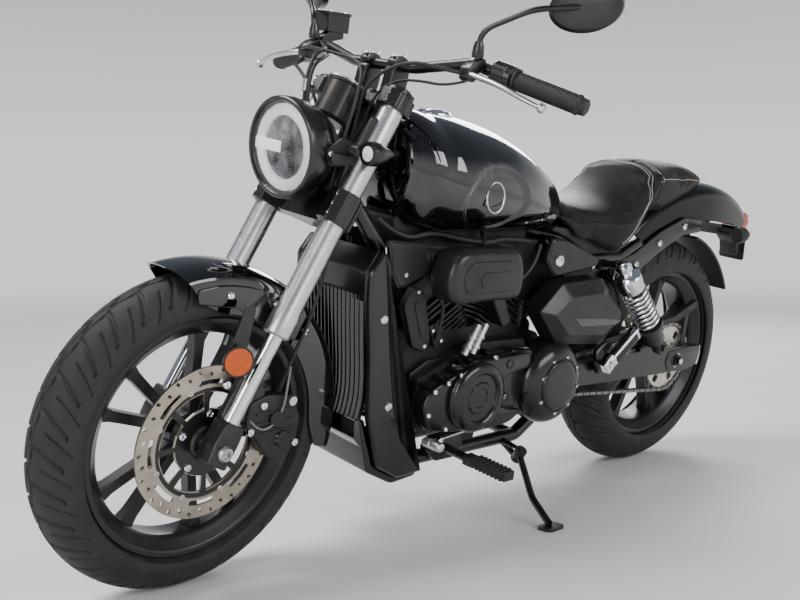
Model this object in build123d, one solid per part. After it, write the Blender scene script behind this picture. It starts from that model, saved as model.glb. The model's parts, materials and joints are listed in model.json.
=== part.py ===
from build123d import *
from math import asin, atan2, cos, degrees, hypot, pi, radians, sin
import os

os.makedirs("parts", exist_ok=True)

# A small twin-cylinder cruiser motorcycle that leans on its side stand with the bars turned a
# little to the left. Each piece is drawn on the upright machine: x forward from the rear axle,
# y to the left, z up from the ground. The last lines steer, lean and centre the pieces.

# Driving dimensions
WHEELBASE = 1420.0
FRONT_TYRE_R, FRONT_TYRE_W = 299.0, 120.0
REAR_TYRE_R, REAR_TYRE_W = 310.5, 150.0
FRONT_RIM_R, FRONT_RIM_HALF = 226.0, 46.0
REAR_RIM_R, REAR_RIM_HALF = 229.0, 56.0
RAKE = 28.5
FORK_OFFSET = 30.0
LEG_HALF_SPACING = 96.0
LEAN = 10.0
STEER_REST = 3.5
CHAIN_PITCH = 12.7
REAR_TEETH, FRONT_TEETH = 45, 15

# Sizes and clearances that several pieces share
AXLE_R = 10.0
STEM_R = 17.5
RUNNING_FIT = 0.05
TIP_GAP = 0.6
FRAME_TUBE_R = 16.0
BAR_R, GRIP_R = 11.0, 17.0
OUTER_TUBE_R, INNER_TUBE_R, COLLAR_R = 23.0, 16.5, 26.0
HEAD_TUBE_R = 29.0
LOWER_YOKE = (450.0, 510.0)
UPPER_YOKE = (690.0, 720.0)
HEAD_TUBE = (511.0, 689.0)
TUBE_JOINT = 222.0
DISC_Y, DISC_T, DISC_R = 62.0, 4.5, 143.0
REAR_DISC_Y, REAR_DISC_R = -84.0, 110.0
CHAIN_Y, CHAIN_HALF = 86.0, 5.0
CHAIN_PLATE = 5.5
ROLLER_R = 4.25
ARM_IN, ARM_OUT = 98.0, 122.0
SHOCK_Y = 152.0
SHOCK_TOP = (349.0, 581.0)
PIVOT = (470.0, 318.0)
GEARBOX_OUT = (548.0, 303.0)
FENDER_CENTRE, FENDER_R, FENDER_HALF = (-84.0, 218.0), 560.0, 92.0
FENDER_WALL = 4.0
FRONT_FENDER_R, FRONT_FENDER_HALF = FRONT_TYRE_R + 23.0, 66.0
STAND_PIVOT = (615.0, 128.0, 154.0)
STAND_FOOT = (672.0, 288.0)
FOLDED = (-0.985, 0.14, 0.10)
ENGINE_X, ENGINE_Z = 760.0, 330.0
CYLINDER_TILT = 31.0
RAIL_R = 12.0
PIPE_R = 16.0
SEAT_GAP = 0.3
FENDER_DEPTH = 100.0
COVER_IN, COVER_OUT = 104.0, 146.0

SPRING_WIRE_R, SPRING_R, COILS = 3.6, 28.0, 9
SPRING_TOP, SPRING_SEAT = 66.0, 96.0
TYRE_ROOM = 19.5

# The neck and all that steers are drawn for a wheelbase of 1420 and a front tyre of radius 299.
# They keep their place to the front axle, and the tubes and the tank stretch to follow them.
AHEAD, RAISED = WHEELBASE - 1420.0, FRONT_TYRE_R - 299.0
# The swingarm's rear end and the chain guard keep their place to the rear axle in the same way.
REAR_UP = REAR_TYRE_R - 310.5

SHOCK_LOW = (139.0, 368.0 + REAR_UP)

# Centre lines of the frame's bent tubes, on the left side
DOWN_ROUTE = [
    (1116 + AHEAD, 14, 754 + RAISED), (1046 + AHEAD, 52, 640 + RAISED), (1004 + AHEAD, 60, 400),
    (960 + AHEAD, 60, 172), (560, 60, 172), (470, 60, 230), (470, 60, 560), (560, 60, 640),
]
RAIL_ROUTE = [(560, 20, 655), (520, 70, 650), (420, 88, 596), (290, 90, 596), (215, 92, 630)]

# Values worked out from these
FRONT_AXLE = Vector(WHEELBASE, 0, FRONT_TYRE_R)
REAR_AXLE = Vector(0, 0, REAR_TYRE_R)
UP_FORK = Vector(-sin(radians(RAKE)), 0, cos(radians(RAKE)))
FORE_FORK = Vector(cos(radians(RAKE)), 0, sin(radians(RAKE)))
STEER_POINT = FRONT_AXLE - FORE_FORK * FORK_OFFSET
FORK = Plane(origin=FRONT_AXLE, x_dir=FORE_FORK, z_dir=UP_FORK).location
NOSE = Pos(AHEAD, 0, RAISED)
REAR_PITCH_R = CHAIN_PITCH / (2 * sin(pi / REAR_TEETH))
FRONT_PITCH_R = CHAIN_PITCH / (2 * sin(pi / FRONT_TEETH))
FRONT_CROWN, REAR_CROWN = FRONT_TYRE_W / 2, REAR_TYRE_W / 2


def leaned(point):
    """Where the lean takes a point or a direction."""
    return Vector(*point).rotate(Axis((0, 0, 0), (1, 0, 0)), -LEAN)


def axle_height(radius, crown, line):
    """Height of an axle above the ground for a tyre tilted like the line of its axle."""
    tilt = asin(abs(leaned(line).Z))
    return (radius - crown) * cos(tilt) + crown


# The lean and the turned front wheel set how far each axle is lifted, and so the last pitch.
steered_axle = FORE_FORK * FORK_OFFSET
steered_axle = STEER_POINT + steered_axle.rotate(Axis((0, 0, 0), UP_FORK), STEER_REST)
wheel_line = Vector(0, 1, 0).rotate(Axis((0, 0, 0), UP_FORK), STEER_REST)
rear_lift = axle_height(REAR_TYRE_R, REAR_CROWN, Vector(0, 1, 0)) - leaned(REAR_AXLE).Z
front_lift = axle_height(FRONT_TYRE_R, FRONT_CROWN, wheel_line) - leaned(steered_axle).Z
pitch = degrees(asin((rear_lift - front_lift) / WHEELBASE))
foot_drop = STAND_FOOT[0] * sin(radians(pitch)) - rear_lift * cos(radians(pitch))
foot_z = (STAND_FOOT[1] * sin(radians(LEAN)) + foot_drop) / cos(radians(LEAN))
STAND_LEG = Vector(STAND_FOOT[0], STAND_FOOT[1], foot_z) - Vector(*STAND_PIVOT)
STAND_AXIS = STAND_LEG.cross(Vector(*FOLDED)).normalized()
stand_pin = Vector(*STAND_PIVOT)


def slab(points, radii, y0, y1):
    """Plate whose outline (x, z) is seen from the side, from y0 to y1."""
    outline = FilletPolyline(*points, radius=radii, close=True)
    side = Plane(origin=(0, y0, 0), x_dir=(1, 0, 0), z_dir=(0, -1, 0))
    return extrude(side * make_face(outline), amount=-(y1 - y0))


def plan(points, radii, z0, z1):
    """Plate whose outline (x, y) is seen from above, from z0 to z1."""
    outline = FilletPolyline(*points, radius=radii, close=True)
    return extrude(Plane(origin=(0, 0, z0)) * make_face(outline), amount=z1 - z0)


def rod(start, end, radius, bore=0.0):
    """Round bar or tube from one point to another."""
    start, end = Vector(*start), Vector(*end)
    place = Plane(origin=start, z_dir=end - start).location
    low = (Align.CENTER, Align.CENTER, Align.MIN)
    bar = Cylinder(radius, (end - start).length, align=low)
    if bore:
        bar -= Cylinder(bore, (end - start).length, align=low)
    return place * bar


def bent_tube(points, bends, radius, bore=0.0):
    """Tube swept along straight runs joined by arcs."""
    path = FilletPolyline(*points, radius=bends)
    ring = Circle(radius) - Circle(bore) if bore else Circle(radius)
    return sweep(Plane(origin=path @ 0, z_dir=path % 0) * ring, path=path)


def turned(profile, centre=(0, 0, 0), arc=360.0):
    """Ring turned about an axle along y, from a closed outline of (y, radius) points."""
    half = Plane(origin=centre, x_dir=(0, 1, 0), z_dir=(1, 0, 0))
    face = half * make_face(Polyline(*profile, close=True))
    return revolve(face, Axis(centre, (0, 1, 0)), revolution_arc=arc)


def turned_about(profile, origin, along, outward):
    """Solid turned about a line, from a closed outline of (distance along, radius) points."""
    along, outward = Vector(*along).normalized(), Vector(*outward).normalized()
    half = Plane(origin=origin, x_dir=along, z_dir=along.cross(outward))
    return revolve(half * make_face(Polyline(*profile, close=True)), Axis(origin, along))


def mirrored(shape):
    """The same piece on the other side of the machine."""
    return mirror(shape, about=Plane.XZ)


def both(shape):
    """A left piece and its mirror image."""
    return shape + mirrored(shape)


def around(shape, centre, angles):
    """Copies of a piece turned about an axle along y."""
    copies = [shape.rotate(Axis(centre, (0, 1, 0)), -angle) for angle in angles]
    return copies[0].fuse(*copies[1:]) if len(copies) > 1 else copies[0]


def down_tubes(radius):
    """The twin tubes from the neck, under the engine and up behind it."""
    return both(bent_tube(DOWN_ROUTE, 50, radius))


def seat_rails(radius):
    """The rails that carry the seat and the rear fender."""
    return both(bent_tube(RAIL_ROUTE, 30, radius))


pieces = {}

# Wheels: each is drawn about its own axle at the origin, then moved to the axle.


def tyre(radius, half, rim_radius, rim_half):
    """Road tyre: a round crown, side walls and beads that sit inside the rim flanges."""
    centre = radius - half
    wall = 9.0
    bead = rim_half - 4.4
    right = [
        (half - 4, centre - 8),
        (rim_half + 3, rim_radius + 1.5),
        (bead, rim_radius + 1.0),
        (bead, rim_radius - 11),
        (bead - 12, rim_radius - 14),
        (bead - 12, rim_radius - 9),
        (bead - 4, rim_radius + 7),
    ]
    left = [(-y, r) for y, r in reversed(right)]
    outline = [
        ThreePointArc((-half, centre), (0, radius), (half, centre)),
        Polyline((half, centre), *right, (half - wall, centre)),
        ThreePointArc((half - wall, centre), (0, radius - wall), (wall - half, centre)),
        Polyline((wall - half, centre), *left, (-half, centre)),
    ]
    half_plane = Plane(origin=(0, 0, 0), x_dir=(0, 1, 0), z_dir=(1, 0, 0))
    return revolve(half_plane * make_face(outline), Axis((0, 0, 0), (0, 1, 0)))


def rim(radius, half, hub, spoke_y, pairs, spread, phase):
    """Cast wheel: rim, hub with a bore, and pairs of spokes that part towards the rim."""
    w = half
    r = radius
    band = turned([
        (-w, r), (-w + 4, r), (-w + 4, r - 12), (-w + 18, r - 16), (-w + 26, r - 26),
        (w - 26, r - 26), (w - 18, r - 16), (w - 4, r - 12), (w - 4, r), (w, r),
        (w, r - 12), (w - 14, r - 24), (w - 24, r - 35),
        (-w + 24, r - 35), (-w + 14, r - 24), (-w, r - 12),
    ])
    left_end, right_end, hub_r = hub
    centre = turned([
        (left_end, AXLE_R + RUNNING_FIT), (left_end, hub_r), (right_end, hub_r),
        (right_end, AXLE_R + RUNNING_FIT),
    ])
    outer = r - 30
    spokes = []
    for number in range(pairs):
        middle = phase + number * 360 / pairs
        for side in (-1, 1):
            foot, tip = radians(middle + side * 9), radians(middle + side * spread)
            a = (cos(foot) * (hub_r - 6), sin(foot) * (hub_r - 6))
            b = (cos(tip) * outer, sin(tip) * outer)
            length = hypot(b[0] - a[0], b[1] - a[1])
            nx, nz = -(b[1] - a[1]) / length, (b[0] - a[0]) / length
            blade = [
                (a[0] + nx * 9, a[1] + nz * 9), (b[0] + nx * 11, b[1] + nz * 11),
                (b[0] - nx * 11, b[1] - nz * 11), (a[0] - nx * 9, a[1] - nz * 9),
            ]
            spokes.append(slab(blade, 1.0, spoke_y[0], spoke_y[1]))
    return band.fuse(centre, *spokes)


def slotted_disc(outer, inner, y, thick, holes, slot):
    """Brake disc with rings of slots, each row (radius, first angle)."""
    disc = turned([(y, inner), (y, outer), (y + thick, outer), (y + thick, inner)])
    cuts = []
    for radius, first in holes:
        for number in range(18):
            hole = slab(
                [(radius - slot, -3.2), (radius + slot, -3.2),
                 (radius + slot, 3.2), (radius - slot, 3.2)],
                3.0, y - 1, y + thick + 1)
            hole = hole.rotate(Axis((radius, 0, 0), (0, 1, 0)), 35)
            cuts.append(hole.rotate(Axis((0, 0, 0), (0, 1, 0)), first + number * 20))
    return disc.cut(*cuts)


def window(inner, outer, span, y0, y1, corner):
    """Cutter for an opening between two radii that spans an angle either side of straight ahead."""
    half = radians(span / 2)
    rim_points = [(outer * cos(a), outer * sin(a)) for a in (-half, -half / 2, 0, half / 2, half)]
    hub_points = [(inner * cos(a), inner * sin(a)) for a in (half, 0, -half)]
    return slab(rim_points + hub_points, corner, y0, y1)


def carrier(y0, y1, inner, outer, windows, phase):
    """Centre of a disc: a plate round the hub with a ring of openings."""
    body = turned([(y0, inner), (y0, outer), (y1, outer), (y1, inner)])
    opening = window(inner + 30, outer - 12, 300 / windows, y0 - 1, y1 + 1, 2)
    turns = [phase + n * 360 / windows for n in range(windows)]
    return body - around(opening, (0, 0, 0), turns)


def sprocket(teeth, y, thick, inner, windows):
    """Chain wheel whose tooth tips stay inside the rollers of the chain."""
    pitch_r = CHAIN_PITCH / (2 * sin(pi / teeth))
    tip = pitch_r - ROLLER_R - TIP_GAP
    points = []
    for number in range(teeth):
        for share, radius in ((-0.42, tip - 5), (-0.16, tip), (0.16, tip), (0.42, tip - 5)):
            angle = 2 * pi * (number + share) / teeth
            points.append((radius * cos(angle), radius * sin(angle)))
    side = Plane(origin=(0, y - thick / 2, 0), x_dir=(1, 0, 0), z_dir=(0, -1, 0))
    wheel = extrude(side * make_face(Polyline(*points, close=True)), amount=-thick)
    wheel = wheel - rod((0, y - thick, 0), (0, y + thick, 0), inner)
    cuts = []
    for number in range(windows):
        hole = slab([(54, -9), (76, -12), (76, 12), (54, 9)], 6.0, y - thick, y + thick)
        cuts.append(hole.rotate(Axis((0, 0, 0), (0, 1, 0)), number * 360 / windows))
    return wheel.cut(*cuts) if windows else wheel


to_front = Location(FRONT_AXLE)
to_rear = Location(REAR_AXLE)
pieces["front_tyre"] = to_front * tyre(FRONT_TYRE_R, FRONT_CROWN, FRONT_RIM_R, FRONT_RIM_HALF)
pieces["rear_tyre"] = to_rear * tyre(REAR_TYRE_R, REAR_CROWN, REAR_RIM_R, REAR_RIM_HALF)
pieces["front_rim"] = to_front * rim(
    FRONT_RIM_R, FRONT_RIM_HALF, (-44, 56, 34), (-14, 14), 5, 13, 33)
pieces["rear_rim"] = to_rear * rim(
    REAR_RIM_R, REAR_RIM_HALF, (-80, 83.2, 40), (-16, 16), 5, 13, 18)
pieces["front_disc"] = to_front * (
    slotted_disc(DISC_R, 104, DISC_Y - DISC_T / 2, DISC_T, ((136, 0), (129, 10)), 4.5)
    - around(window(110, 119, 26, DISC_Y - 10, DISC_Y + 10, 2), (0, 0, 0), range(0, 360, 45))
    + carrier(56.3, 61.0, 34, 106, 8, 20))
pieces["rear_disc"] = to_rear * (
    slotted_disc(REAR_DISC_R, 80, REAR_DISC_Y - 2, 4, ((102, 0), (89, 10)), 5)
    + carrier(REAR_DISC_Y - 2, REAR_DISC_Y + 3.7, 20, 82, 6, 10))
pieces["rear_sprocket"] = to_rear * sprocket(REAR_TEETH, CHAIN_Y, 5, 24, 6)

# Front fork, drawn from the axle: z up the legs, x towards the front of the legs.

stem = rod((-FORK_OFFSET, 0, LOWER_YOKE[0]), (-FORK_OFFSET, 0, UPPER_YOKE[1] + 14), STEM_R)
nut = rod((-FORK_OFFSET, 0, UPPER_YOKE[1]), (-FORK_OFFSET, 0, UPPER_YOKE[1] + 10), 22)
yoke_half = LEG_HALF_SPACING
yoke_outline = [
    (-58, -24), (-34, -60), (-29, -yoke_half - 22), (20, -yoke_half - 26), (36, -yoke_half - 10),
    (34, -yoke_half + 14), (-2, -52),
    (-2, 52), (34, yoke_half - 14), (36, yoke_half + 10), (20, yoke_half + 26),
    (-29, yoke_half + 22), (-34, 60), (-58, 24),
]
yokes = stem + nut
for low, high in (LOWER_YOKE, UPPER_YOKE):
    plate = plan(yoke_outline, 8, low, high)
    for side in (-1, 1):
        leg = (0, side * LEG_HALF_SPACING)
        plate -= rod((*leg, low - 1), (*leg, high + 1), OUTER_TUBE_R)
    yokes += plate
pieces["fork_yokes"] = FORK * yokes

outer_leg = turned_about(
    [(TUBE_JOINT, INNER_TUBE_R + 0.1), (TUBE_JOINT, COLLAR_R - 5), (TUBE_JOINT + 5, COLLAR_R),
     (TUBE_JOINT + 34, COLLAR_R), (TUBE_JOINT + 48, OUTER_TUBE_R),
     (UPPER_YOKE[1] - 1, OUTER_TUBE_R), (UPPER_YOKE[1] + 6, OUTER_TUBE_R - 3),
     (UPPER_YOKE[1] + 6, INNER_TUBE_R + 0.1)],
    (0, LEG_HALF_SPACING, 0), (0, 0, 1), (1, 0, 0))
pieces["fork_outers"] = FORK * both(outer_leg)

slider = rod((0, LEG_HALF_SPACING, 20), (0, LEG_HALF_SPACING, UPPER_YOKE[1]), INNER_TUBE_R)
lug = slab([(-30, -30), (24, -30), (30, 10), (22, 44), (-22, 44), (-30, 24)], 8,
           LEG_HALF_SPACING - 22, LEG_HALF_SPACING + 22)
lug -= rod((0, 0, 0), (0, 200, 0), AXLE_R)
front_axle = rod((0, -122, 0), (0, 126, 0), AXLE_R, 5)
spacer = rod((0, 66.5, 0), (0, 74, 0), 17, AXLE_R) + rod((0, -74, 0), (0, -46, 0), 17, AXLE_R)
axle_head = rod((0, 118.2, 0), (0, 127, 0), 16, AXLE_R)
caliper_arm = slab([(-21, 30), (20, 30), (20, 132), (6, 140), (-40, 132), (-62, 108), (-74, 78),
                    (-52, 62)], 5, 76, 92)
sliders = FORK * (both(slider + lug) + front_axle + spacer + axle_head + caliper_arm)

# Brake caliper over the rear edge of the disc.
calliper_outline = [(1352, 372), (1262, 372), (1236, 326), (1240, 276), (1300, 262), (1330, 300)]
calliper = slab(calliper_outline, 9, 70, 96)
calliper += slab(calliper_outline, 9, 51, 56)
calliper += slab([(1262, 372), (1236, 326), (1240, 276), (1262, 272), (1268, 330)], 5, 51, 96)
calliper = NOSE * calliper
calliper -= rod((WHEELBASE, 50, FRONT_TYRE_R), (WHEELBASE, 70, FRONT_TYRE_R), DISC_R + 4)
pieces["brake_caliper"] = calliper
pieces["fork_sliders"] = sliders - calliper

# Front fender, a curved shell round the tyre with stays to the fork legs.


def shell_section(radius, half, depth, thick):
    """Closed outline (y, radius) of a rounded mudguard."""
    outer = [(-half, radius - depth), (-half, radius - 34), (-half * 0.62, radius - 9),
             (0, radius), (half * 0.62, radius - 9), (half, radius - 34),
             (half, radius - depth)]
    inner = [(y * (1 - thick / half), r - thick) for y, r in reversed(outer)]
    inner[0] = (inner[0][0], radius - depth)
    inner[-1] = (inner[-1][0], radius - depth)
    return outer + inner


def mudguard(centre, radius, half, depth, thick, first, last):
    """Mudguard that covers the angles first to last, counted up from straight ahead."""
    start = (centre[0], 0, centre[1])
    shell = turned(shell_section(radius, half, depth, thick), start, last - first)
    return shell.rotate(Axis(start, (0, 1, 0)), 90 - last)


front_fender = mudguard(
    (WHEELBASE, FRONT_TYRE_R), FRONT_FENDER_R, FRONT_FENDER_HALF, 50, 3, 76, 192)
fork_stay = slab([(1432, 566), (1330, 596), (1236, 566), (1210, 500), (1236, 468),
                  (1334, 478), (1352, 534), (1424, 530)], 8, 66, 74)
fork_stay -= slab([(1420, 500), (1420, 700), (1100, 700), (1100, 400), (1180, 400)], 2, 70, 80)
fork_stay = NOSE * fork_stay
fork_legs = FORK * both(rod((0, LEG_HALF_SPACING, 0), (0, LEG_HALF_SPACING, 700), COLLAR_R))
pieces["front_fender"] = front_fender + both(fork_stay) - fork_legs

# Handlebar, its risers, grips, levers, mirrors and instruments.

bar_side = [(1030, 0, 986), (1030, 84, 986), (1006, 200, 1008), (950, 423, 958)]
bar_points = [(x, -y, z) for x, y, z in reversed(bar_side[1:])] + bar_side[1:]
handlebar = bent_tube(bar_points, 50, BAR_R, 8.0)
risers = None
for side in (-1, 1):
    y = side * 38
    riser = slab([(1012, 930), (1082, 918), (1052, 1006), (1012, 1006)], 8, y - 14, y + 14)
    riser -= rod((1030, y - 20, 986), (1030, y + 20, 986), BAR_R)
    risers = riser if risers is None else risers + riser
pieces["handlebar"] = NOSE * handlebar
yoke_room = FORK * Pos(0, 0, UPPER_YOKE[1] - 40) * Box(400, 400, 80)
pieces["bar_risers"] = NOSE * risers - yoke_room


def along_bar(y, over=0.0, ahead=0.0):
    """Point beside the left outer run of the bar at a given y."""
    (x1, y1, z1), (x2, y2, z2) = bar_side[2], bar_side[3]
    share = (y - y1) / (y2 - y1)
    return (x1 + (x2 - x1) * share + ahead, y, z1 + (z2 - z1) * share + over)


grip = rod(along_bar(292), along_bar(412), GRIP_R, BAR_R)
grip += rod(along_bar(286), along_bar(292), GRIP_R + 4, BAR_R)
grip += rod(along_bar(412), along_bar(430), 15, BAR_R)
pieces["grips"] = NOSE * both(grip)

switch_box = rod(along_bar(240), along_bar(284), 23, BAR_R)
lever_mount = slab([(1000, 976), (1050, 976), (1050, 1002), (1000, 1020)], 7, 212, 238)
bar_room = rod(along_bar(200), along_bar(250), BAR_R)
lever_mount -= bar_room
reservoir = plan([(940, -268), (1000, -262), (1006, -206), (946, -210)], 8, 1036, 1074)
reservoir += slab([(950, 1026), (1002, 1014), (1012, 1014), (1006, 1027), (990, 1038),
                   (950, 1038)], 1, -232, -212)
switchgear = both(switch_box + lever_mount) + (reservoir - mirrored(bar_room))
pieces["switchgear"] = NOSE * switchgear

lever_points = [(1038, 218, 990), (1046, 240, 988), (1046, 334, 968), (1032, 384, 950)]
lever = bent_tube(lever_points, 12, 6.0) + Pos(*lever_points[-1]) * Sphere(9)
pieces["hand_levers"] = NOSE * (both(lever) - switchgear)

mirror_stem = bent_tube(
    [(1022, 225, 1000), (1026, 228, 1066), (984, 304, 1112), (920, 364, 1127)], 22, 5.5)
mirror_stem += rod((1022, 225, 1022), (1023.5, 226, 1048), 9.5)
mirror_head = Location((918, 366, 1126), (12, 8, 20)) * extrude(
    Plane.YZ * Ellipse(66, 42), amount=-14)
mirror_glass = Location((918, 366, 1126), (12, 8, 20)) * Pos(-14.3, 0, 0) * extrude(
    Plane.YZ * Ellipse(60, 36), amount=-1.5)
pieces["mirrors"] = NOSE * (both(mirror_stem + mirror_head) - switchgear)
pieces["mirror_glass"] = NOSE * both(mirror_glass)

dial_low, dial_high = UPPER_YOKE[0] - 68, UPPER_YOKE[0] + 22
dial = turned_about(
    [(dial_low, 0), (dial_low, 34), (dial_low + 8, 40), (dial_high - 12, 40),
     (dial_high - 8, 43), (dial_high, 43), (dial_high, 38), (dial_high - 3, 0)],
    (46, 0, 0), (0, 0, 1), (1, 0, 0))
dial += Pos(4, 0, UPPER_YOKE[0] + 8) * Box(11.8, 36, 12)
pieces["instrument"] = FORK * dial

# Headlight on two arms in front of the fork, and the front indicators beside it.

LAMP = Vector(1268 + AHEAD, 0, 818 + RAISED)
LAMP_OUT = Vector(cos(radians(3)), 0, -sin(radians(3)))
LAMP_UP = Vector(sin(radians(3)), 0, cos(radians(3)))
pieces["headlight_shell"] = turned_about(
    [(-88, 0), (-88, 46), (-62, 78), (-22, 90), (-6, 93), (0, 90), (0, 82), (-14, 78),
     (-14, 0)], LAMP, LAMP_OUT, LAMP_UP)
pieces["headlight_lens"] = turned_about(
    [(-13.5, 0), (-13.5, 77), (-2, 80), (4, 60), (7, 30), (8, 0)], LAMP, LAMP_OUT, LAMP_UP)
arm_points = [(1148, 835), (1168, 800), (1226, 800), (1236, 826), (1200, 850)]
lamp_arm = slab(arm_points, 6, 86, 92)
lamp_arm += slab([(1120, 842), (1150, 842), (1172, 800), (1142, 795)], 4, 72, 100)
lamp_arm = NOSE * lamp_arm
lamp_arm -= rod(FRONT_AXLE + UP_FORK * 400 + Vector(0, LEG_HALF_SPACING, 0),
                FRONT_AXLE + UP_FORK * 720 + Vector(0, LEG_HALF_SPACING, 0), OUTER_TUBE_R)
lamp_arm -= pieces["headlight_shell"]
pieces["headlight_arms"] = both(lamp_arm)


def indicator(tip, front, y, z):
    """Bullet-shaped indicator: the lens end first, the cone behind it."""
    length = front - tip
    return turned_about([(0, 0), (0, 17), (4, 21), (14, 22), (26, 21), (length - 10, 9),
                         (length, 0)], (front, y, z), (-1, 0, 0), (0, 0, 1))


front_indicator = indicator(1120, 1184, 142, 830) + rod((1172, 92, 830), (1172, 126, 830), 8)
pieces["front_indicators"] = NOSE * both(front_indicator)

# Hoses and cables that turn with the bars.
brake_hose = bent_tube(
    [(1280, 78, 366), (1262, 78, 420), (1214, 78, 520), (1166, 56, 640), (1196, 62, 740),
     (1174, 62, 836), (1146, 62, 933), (1110, 24, 986), (1114, -60, 996), (1094, -170, 1002),
     (1050, -226, 994)], 18, 3.5)
clutch_cable = bent_tube(
    [(1050 + SEAT_GAP, 219, 989), (1084, 212, 991), (1116, 140, 1000), (1140, 66, 950),
     (1134, 50, 880), (1148, 48, 790), (1164, 44, 741)], 20, 3.5)
throttle_cable = bent_tube(
    [(1010, -252, 980), (1072, -220, 960), (1120, -150, 960), (1146, -60, 915),
     (1134, -46, 850), (1164, -44, 741)], 28, 3.5)
cables = NOSE * ((brake_hose + clutch_cable + throttle_cable) - switchgear)
pieces["control_cables"] = cables - calliper - pieces["fork_yokes"]

# Frame: head tube, backbone, twin down tubes that run under the engine, and seat rails.

head_tube = FORK * rod((-FORK_OFFSET, 0, HEAD_TUBE[0]), (-FORK_OFFSET, 0, HEAD_TUBE[1]),
                       HEAD_TUBE_R, STEM_R + RUNNING_FIT)
head_space = FORK * rod((-FORK_OFFSET, 0, HEAD_TUBE[0]), (-FORK_OFFSET, 0, HEAD_TUBE[1]),
                        HEAD_TUBE_R - 2)
backbone = bent_tube([(1096 + AHEAD, 0, 800 + RAISED), (900, 0, 790), (680, 0, 735), (560, 0, 640),
                      (500, 0, 560)], 80, 22)
pivot_tube = rod((PIVOT[0], -76, PIVOT[1]), (PIVOT[0], 76, PIVOT[1]), 24, 12)
cross_tubes = rod((560, -60, 172), (560, 60, 172), 12) + rod((470, -60, 520), (470, 60, 520), 12)
shock_stub = rod((SHOCK_TOP[0], 86, SHOCK_TOP[1] + 2), (SHOCK_TOP[0], 168, SHOCK_TOP[1] + 2),
                 9 - RUNNING_FIT)
shock_gusset = slab([(320, 604), (380, 604), (366, 568), (332, 568)], 8, 84, 96)
stand_root = (STAND_PIVOT[0], 64, 172)
stand_bracket = rod(stand_root, stand_pin + STAND_AXIS * 12, 7)
stand_bracket += rod(stand_root, stand_pin - STAND_AXIS * 12, 7)
stand_bracket -= rod(stand_pin - STAND_AXIS * 16, stand_pin + STAND_AXIS * 16, 14)
stand_bracket -= rod(stand_pin - STAND_AXIS * 8.4, stand_pin + STAND_AXIS * 8.4, 20)
main_frame = (backbone + down_tubes(FRAME_TUBE_R) + seat_rails(RAIL_R)
              + both(shock_stub + shock_gusset) + pivot_tube + cross_tubes + stand_bracket)
pivot_bore = rod((PIVOT[0], -90, PIVOT[1]), (PIVOT[0], 90, PIVOT[1]), 12)
pieces["main_frame"] = (main_frame - head_space - pivot_bore) + head_tube

# Swingarm, with the rear axle and the lower eyes of the shock absorbers.
AXLE_Z = REAR_TYRE_R
arm = slab([(452, 292), (500, 304), (500, 334), (452, 346), (330, 350), (120, AXLE_Z + 41.5),
            (60, AXLE_Z + 39.5), (-70, AXLE_Z + 31.5), (-108, AXLE_Z + 31.5),
            (-108, AXLE_Z - 20.5), (-60, AXLE_Z - 32.5), (60, AXLE_Z - 30.5),
            (330, 288)], 8, ARM_IN, ARM_OUT)
shock_ear = slab([(180, AXLE_Z + 35.5), (170, AXLE_Z + 73.5), (139, AXLE_Z + 81.5),
                  (112, AXLE_Z + 69.5), (100, AXLE_Z + 35.5)], 10, ARM_OUT - 14, ARM_OUT)
shock_pin = rod((SHOCK_LOW[0], ARM_OUT - 4, SHOCK_LOW[1]), (SHOCK_LOW[0], 170, SHOCK_LOW[1]), 8)
brace = rod((372, -ARM_IN - 4, 318), (372, ARM_IN + 4, 318), 19)
pivot_pin = rod((PIVOT[0], -ARM_IN - 4, PIVOT[1]), (PIVOT[0], ARM_IN + 4, PIVOT[1]), 11.9)
axle_bar = rod((0, -136, REAR_TYRE_R), (0, 136, REAR_TYRE_R), AXLE_R)
axle_nuts = rod((0, ARM_OUT, REAR_TYRE_R), (0, ARM_OUT + 9, REAR_TYRE_R), 17)
axle_spacers = rod((0, 91, REAR_TYRE_R), (0, ARM_IN, REAR_TYRE_R), 16)
pieces["swingarm"] = both(arm + shock_ear + shock_pin + axle_nuts + axle_spacers) + (
    brace + pivot_pin + axle_bar)

# Shock absorbers: chrome heads and coil springs round a body with an eye at each end.
shock_axis = Vector(SHOCK_LOW[0] - SHOCK_TOP[0], 0, SHOCK_LOW[1] - SHOCK_TOP[1])
SHOCK_LENGTH = shock_axis.length
shock_dir = shock_axis.normalized()
shock_side = Vector(-shock_dir.Z, 0, shock_dir.X)
shock_start = Vector(SHOCK_TOP[0], SHOCK_Y, SHOCK_TOP[1])
shock_body = turned_about(
    [(14, 0), (14, 16), (20, 33), (SPRING_TOP, 33), (SPRING_TOP, 9), (120, 9), (120, 20),
     (SHOCK_LENGTH - SPRING_SEAT, 20), (SHOCK_LENGTH - SPRING_SEAT, 34), (SHOCK_LENGTH - 86, 34),
     (SHOCK_LENGTH - 82, 24), (SHOCK_LENGTH - 30, 22), (SHOCK_LENGTH - 18, 14),
     (SHOCK_LENGTH - 18, 0)], shock_start, shock_dir, shock_side)
top_eye = rod((SHOCK_TOP[0], 140, SHOCK_TOP[1]), (SHOCK_TOP[0], 164, SHOCK_TOP[1]), 19)
low_eye = rod((SHOCK_LOW[0], 140, SHOCK_LOW[1]), (SHOCK_LOW[0], 164, SHOCK_LOW[1]), 18)
shock = shock_body + top_eye + low_eye
shock -= rod((SHOCK_TOP[0], 130, SHOCK_TOP[1] + 2), (SHOCK_TOP[0], 170, SHOCK_TOP[1] + 2), 9)
shock -= rod((SHOCK_LOW[0], 130, SHOCK_LOW[1]), (SHOCK_LOW[0], 170, SHOCK_LOW[1]), 8)
pieces["shock_bodies"] = both(shock)

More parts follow.
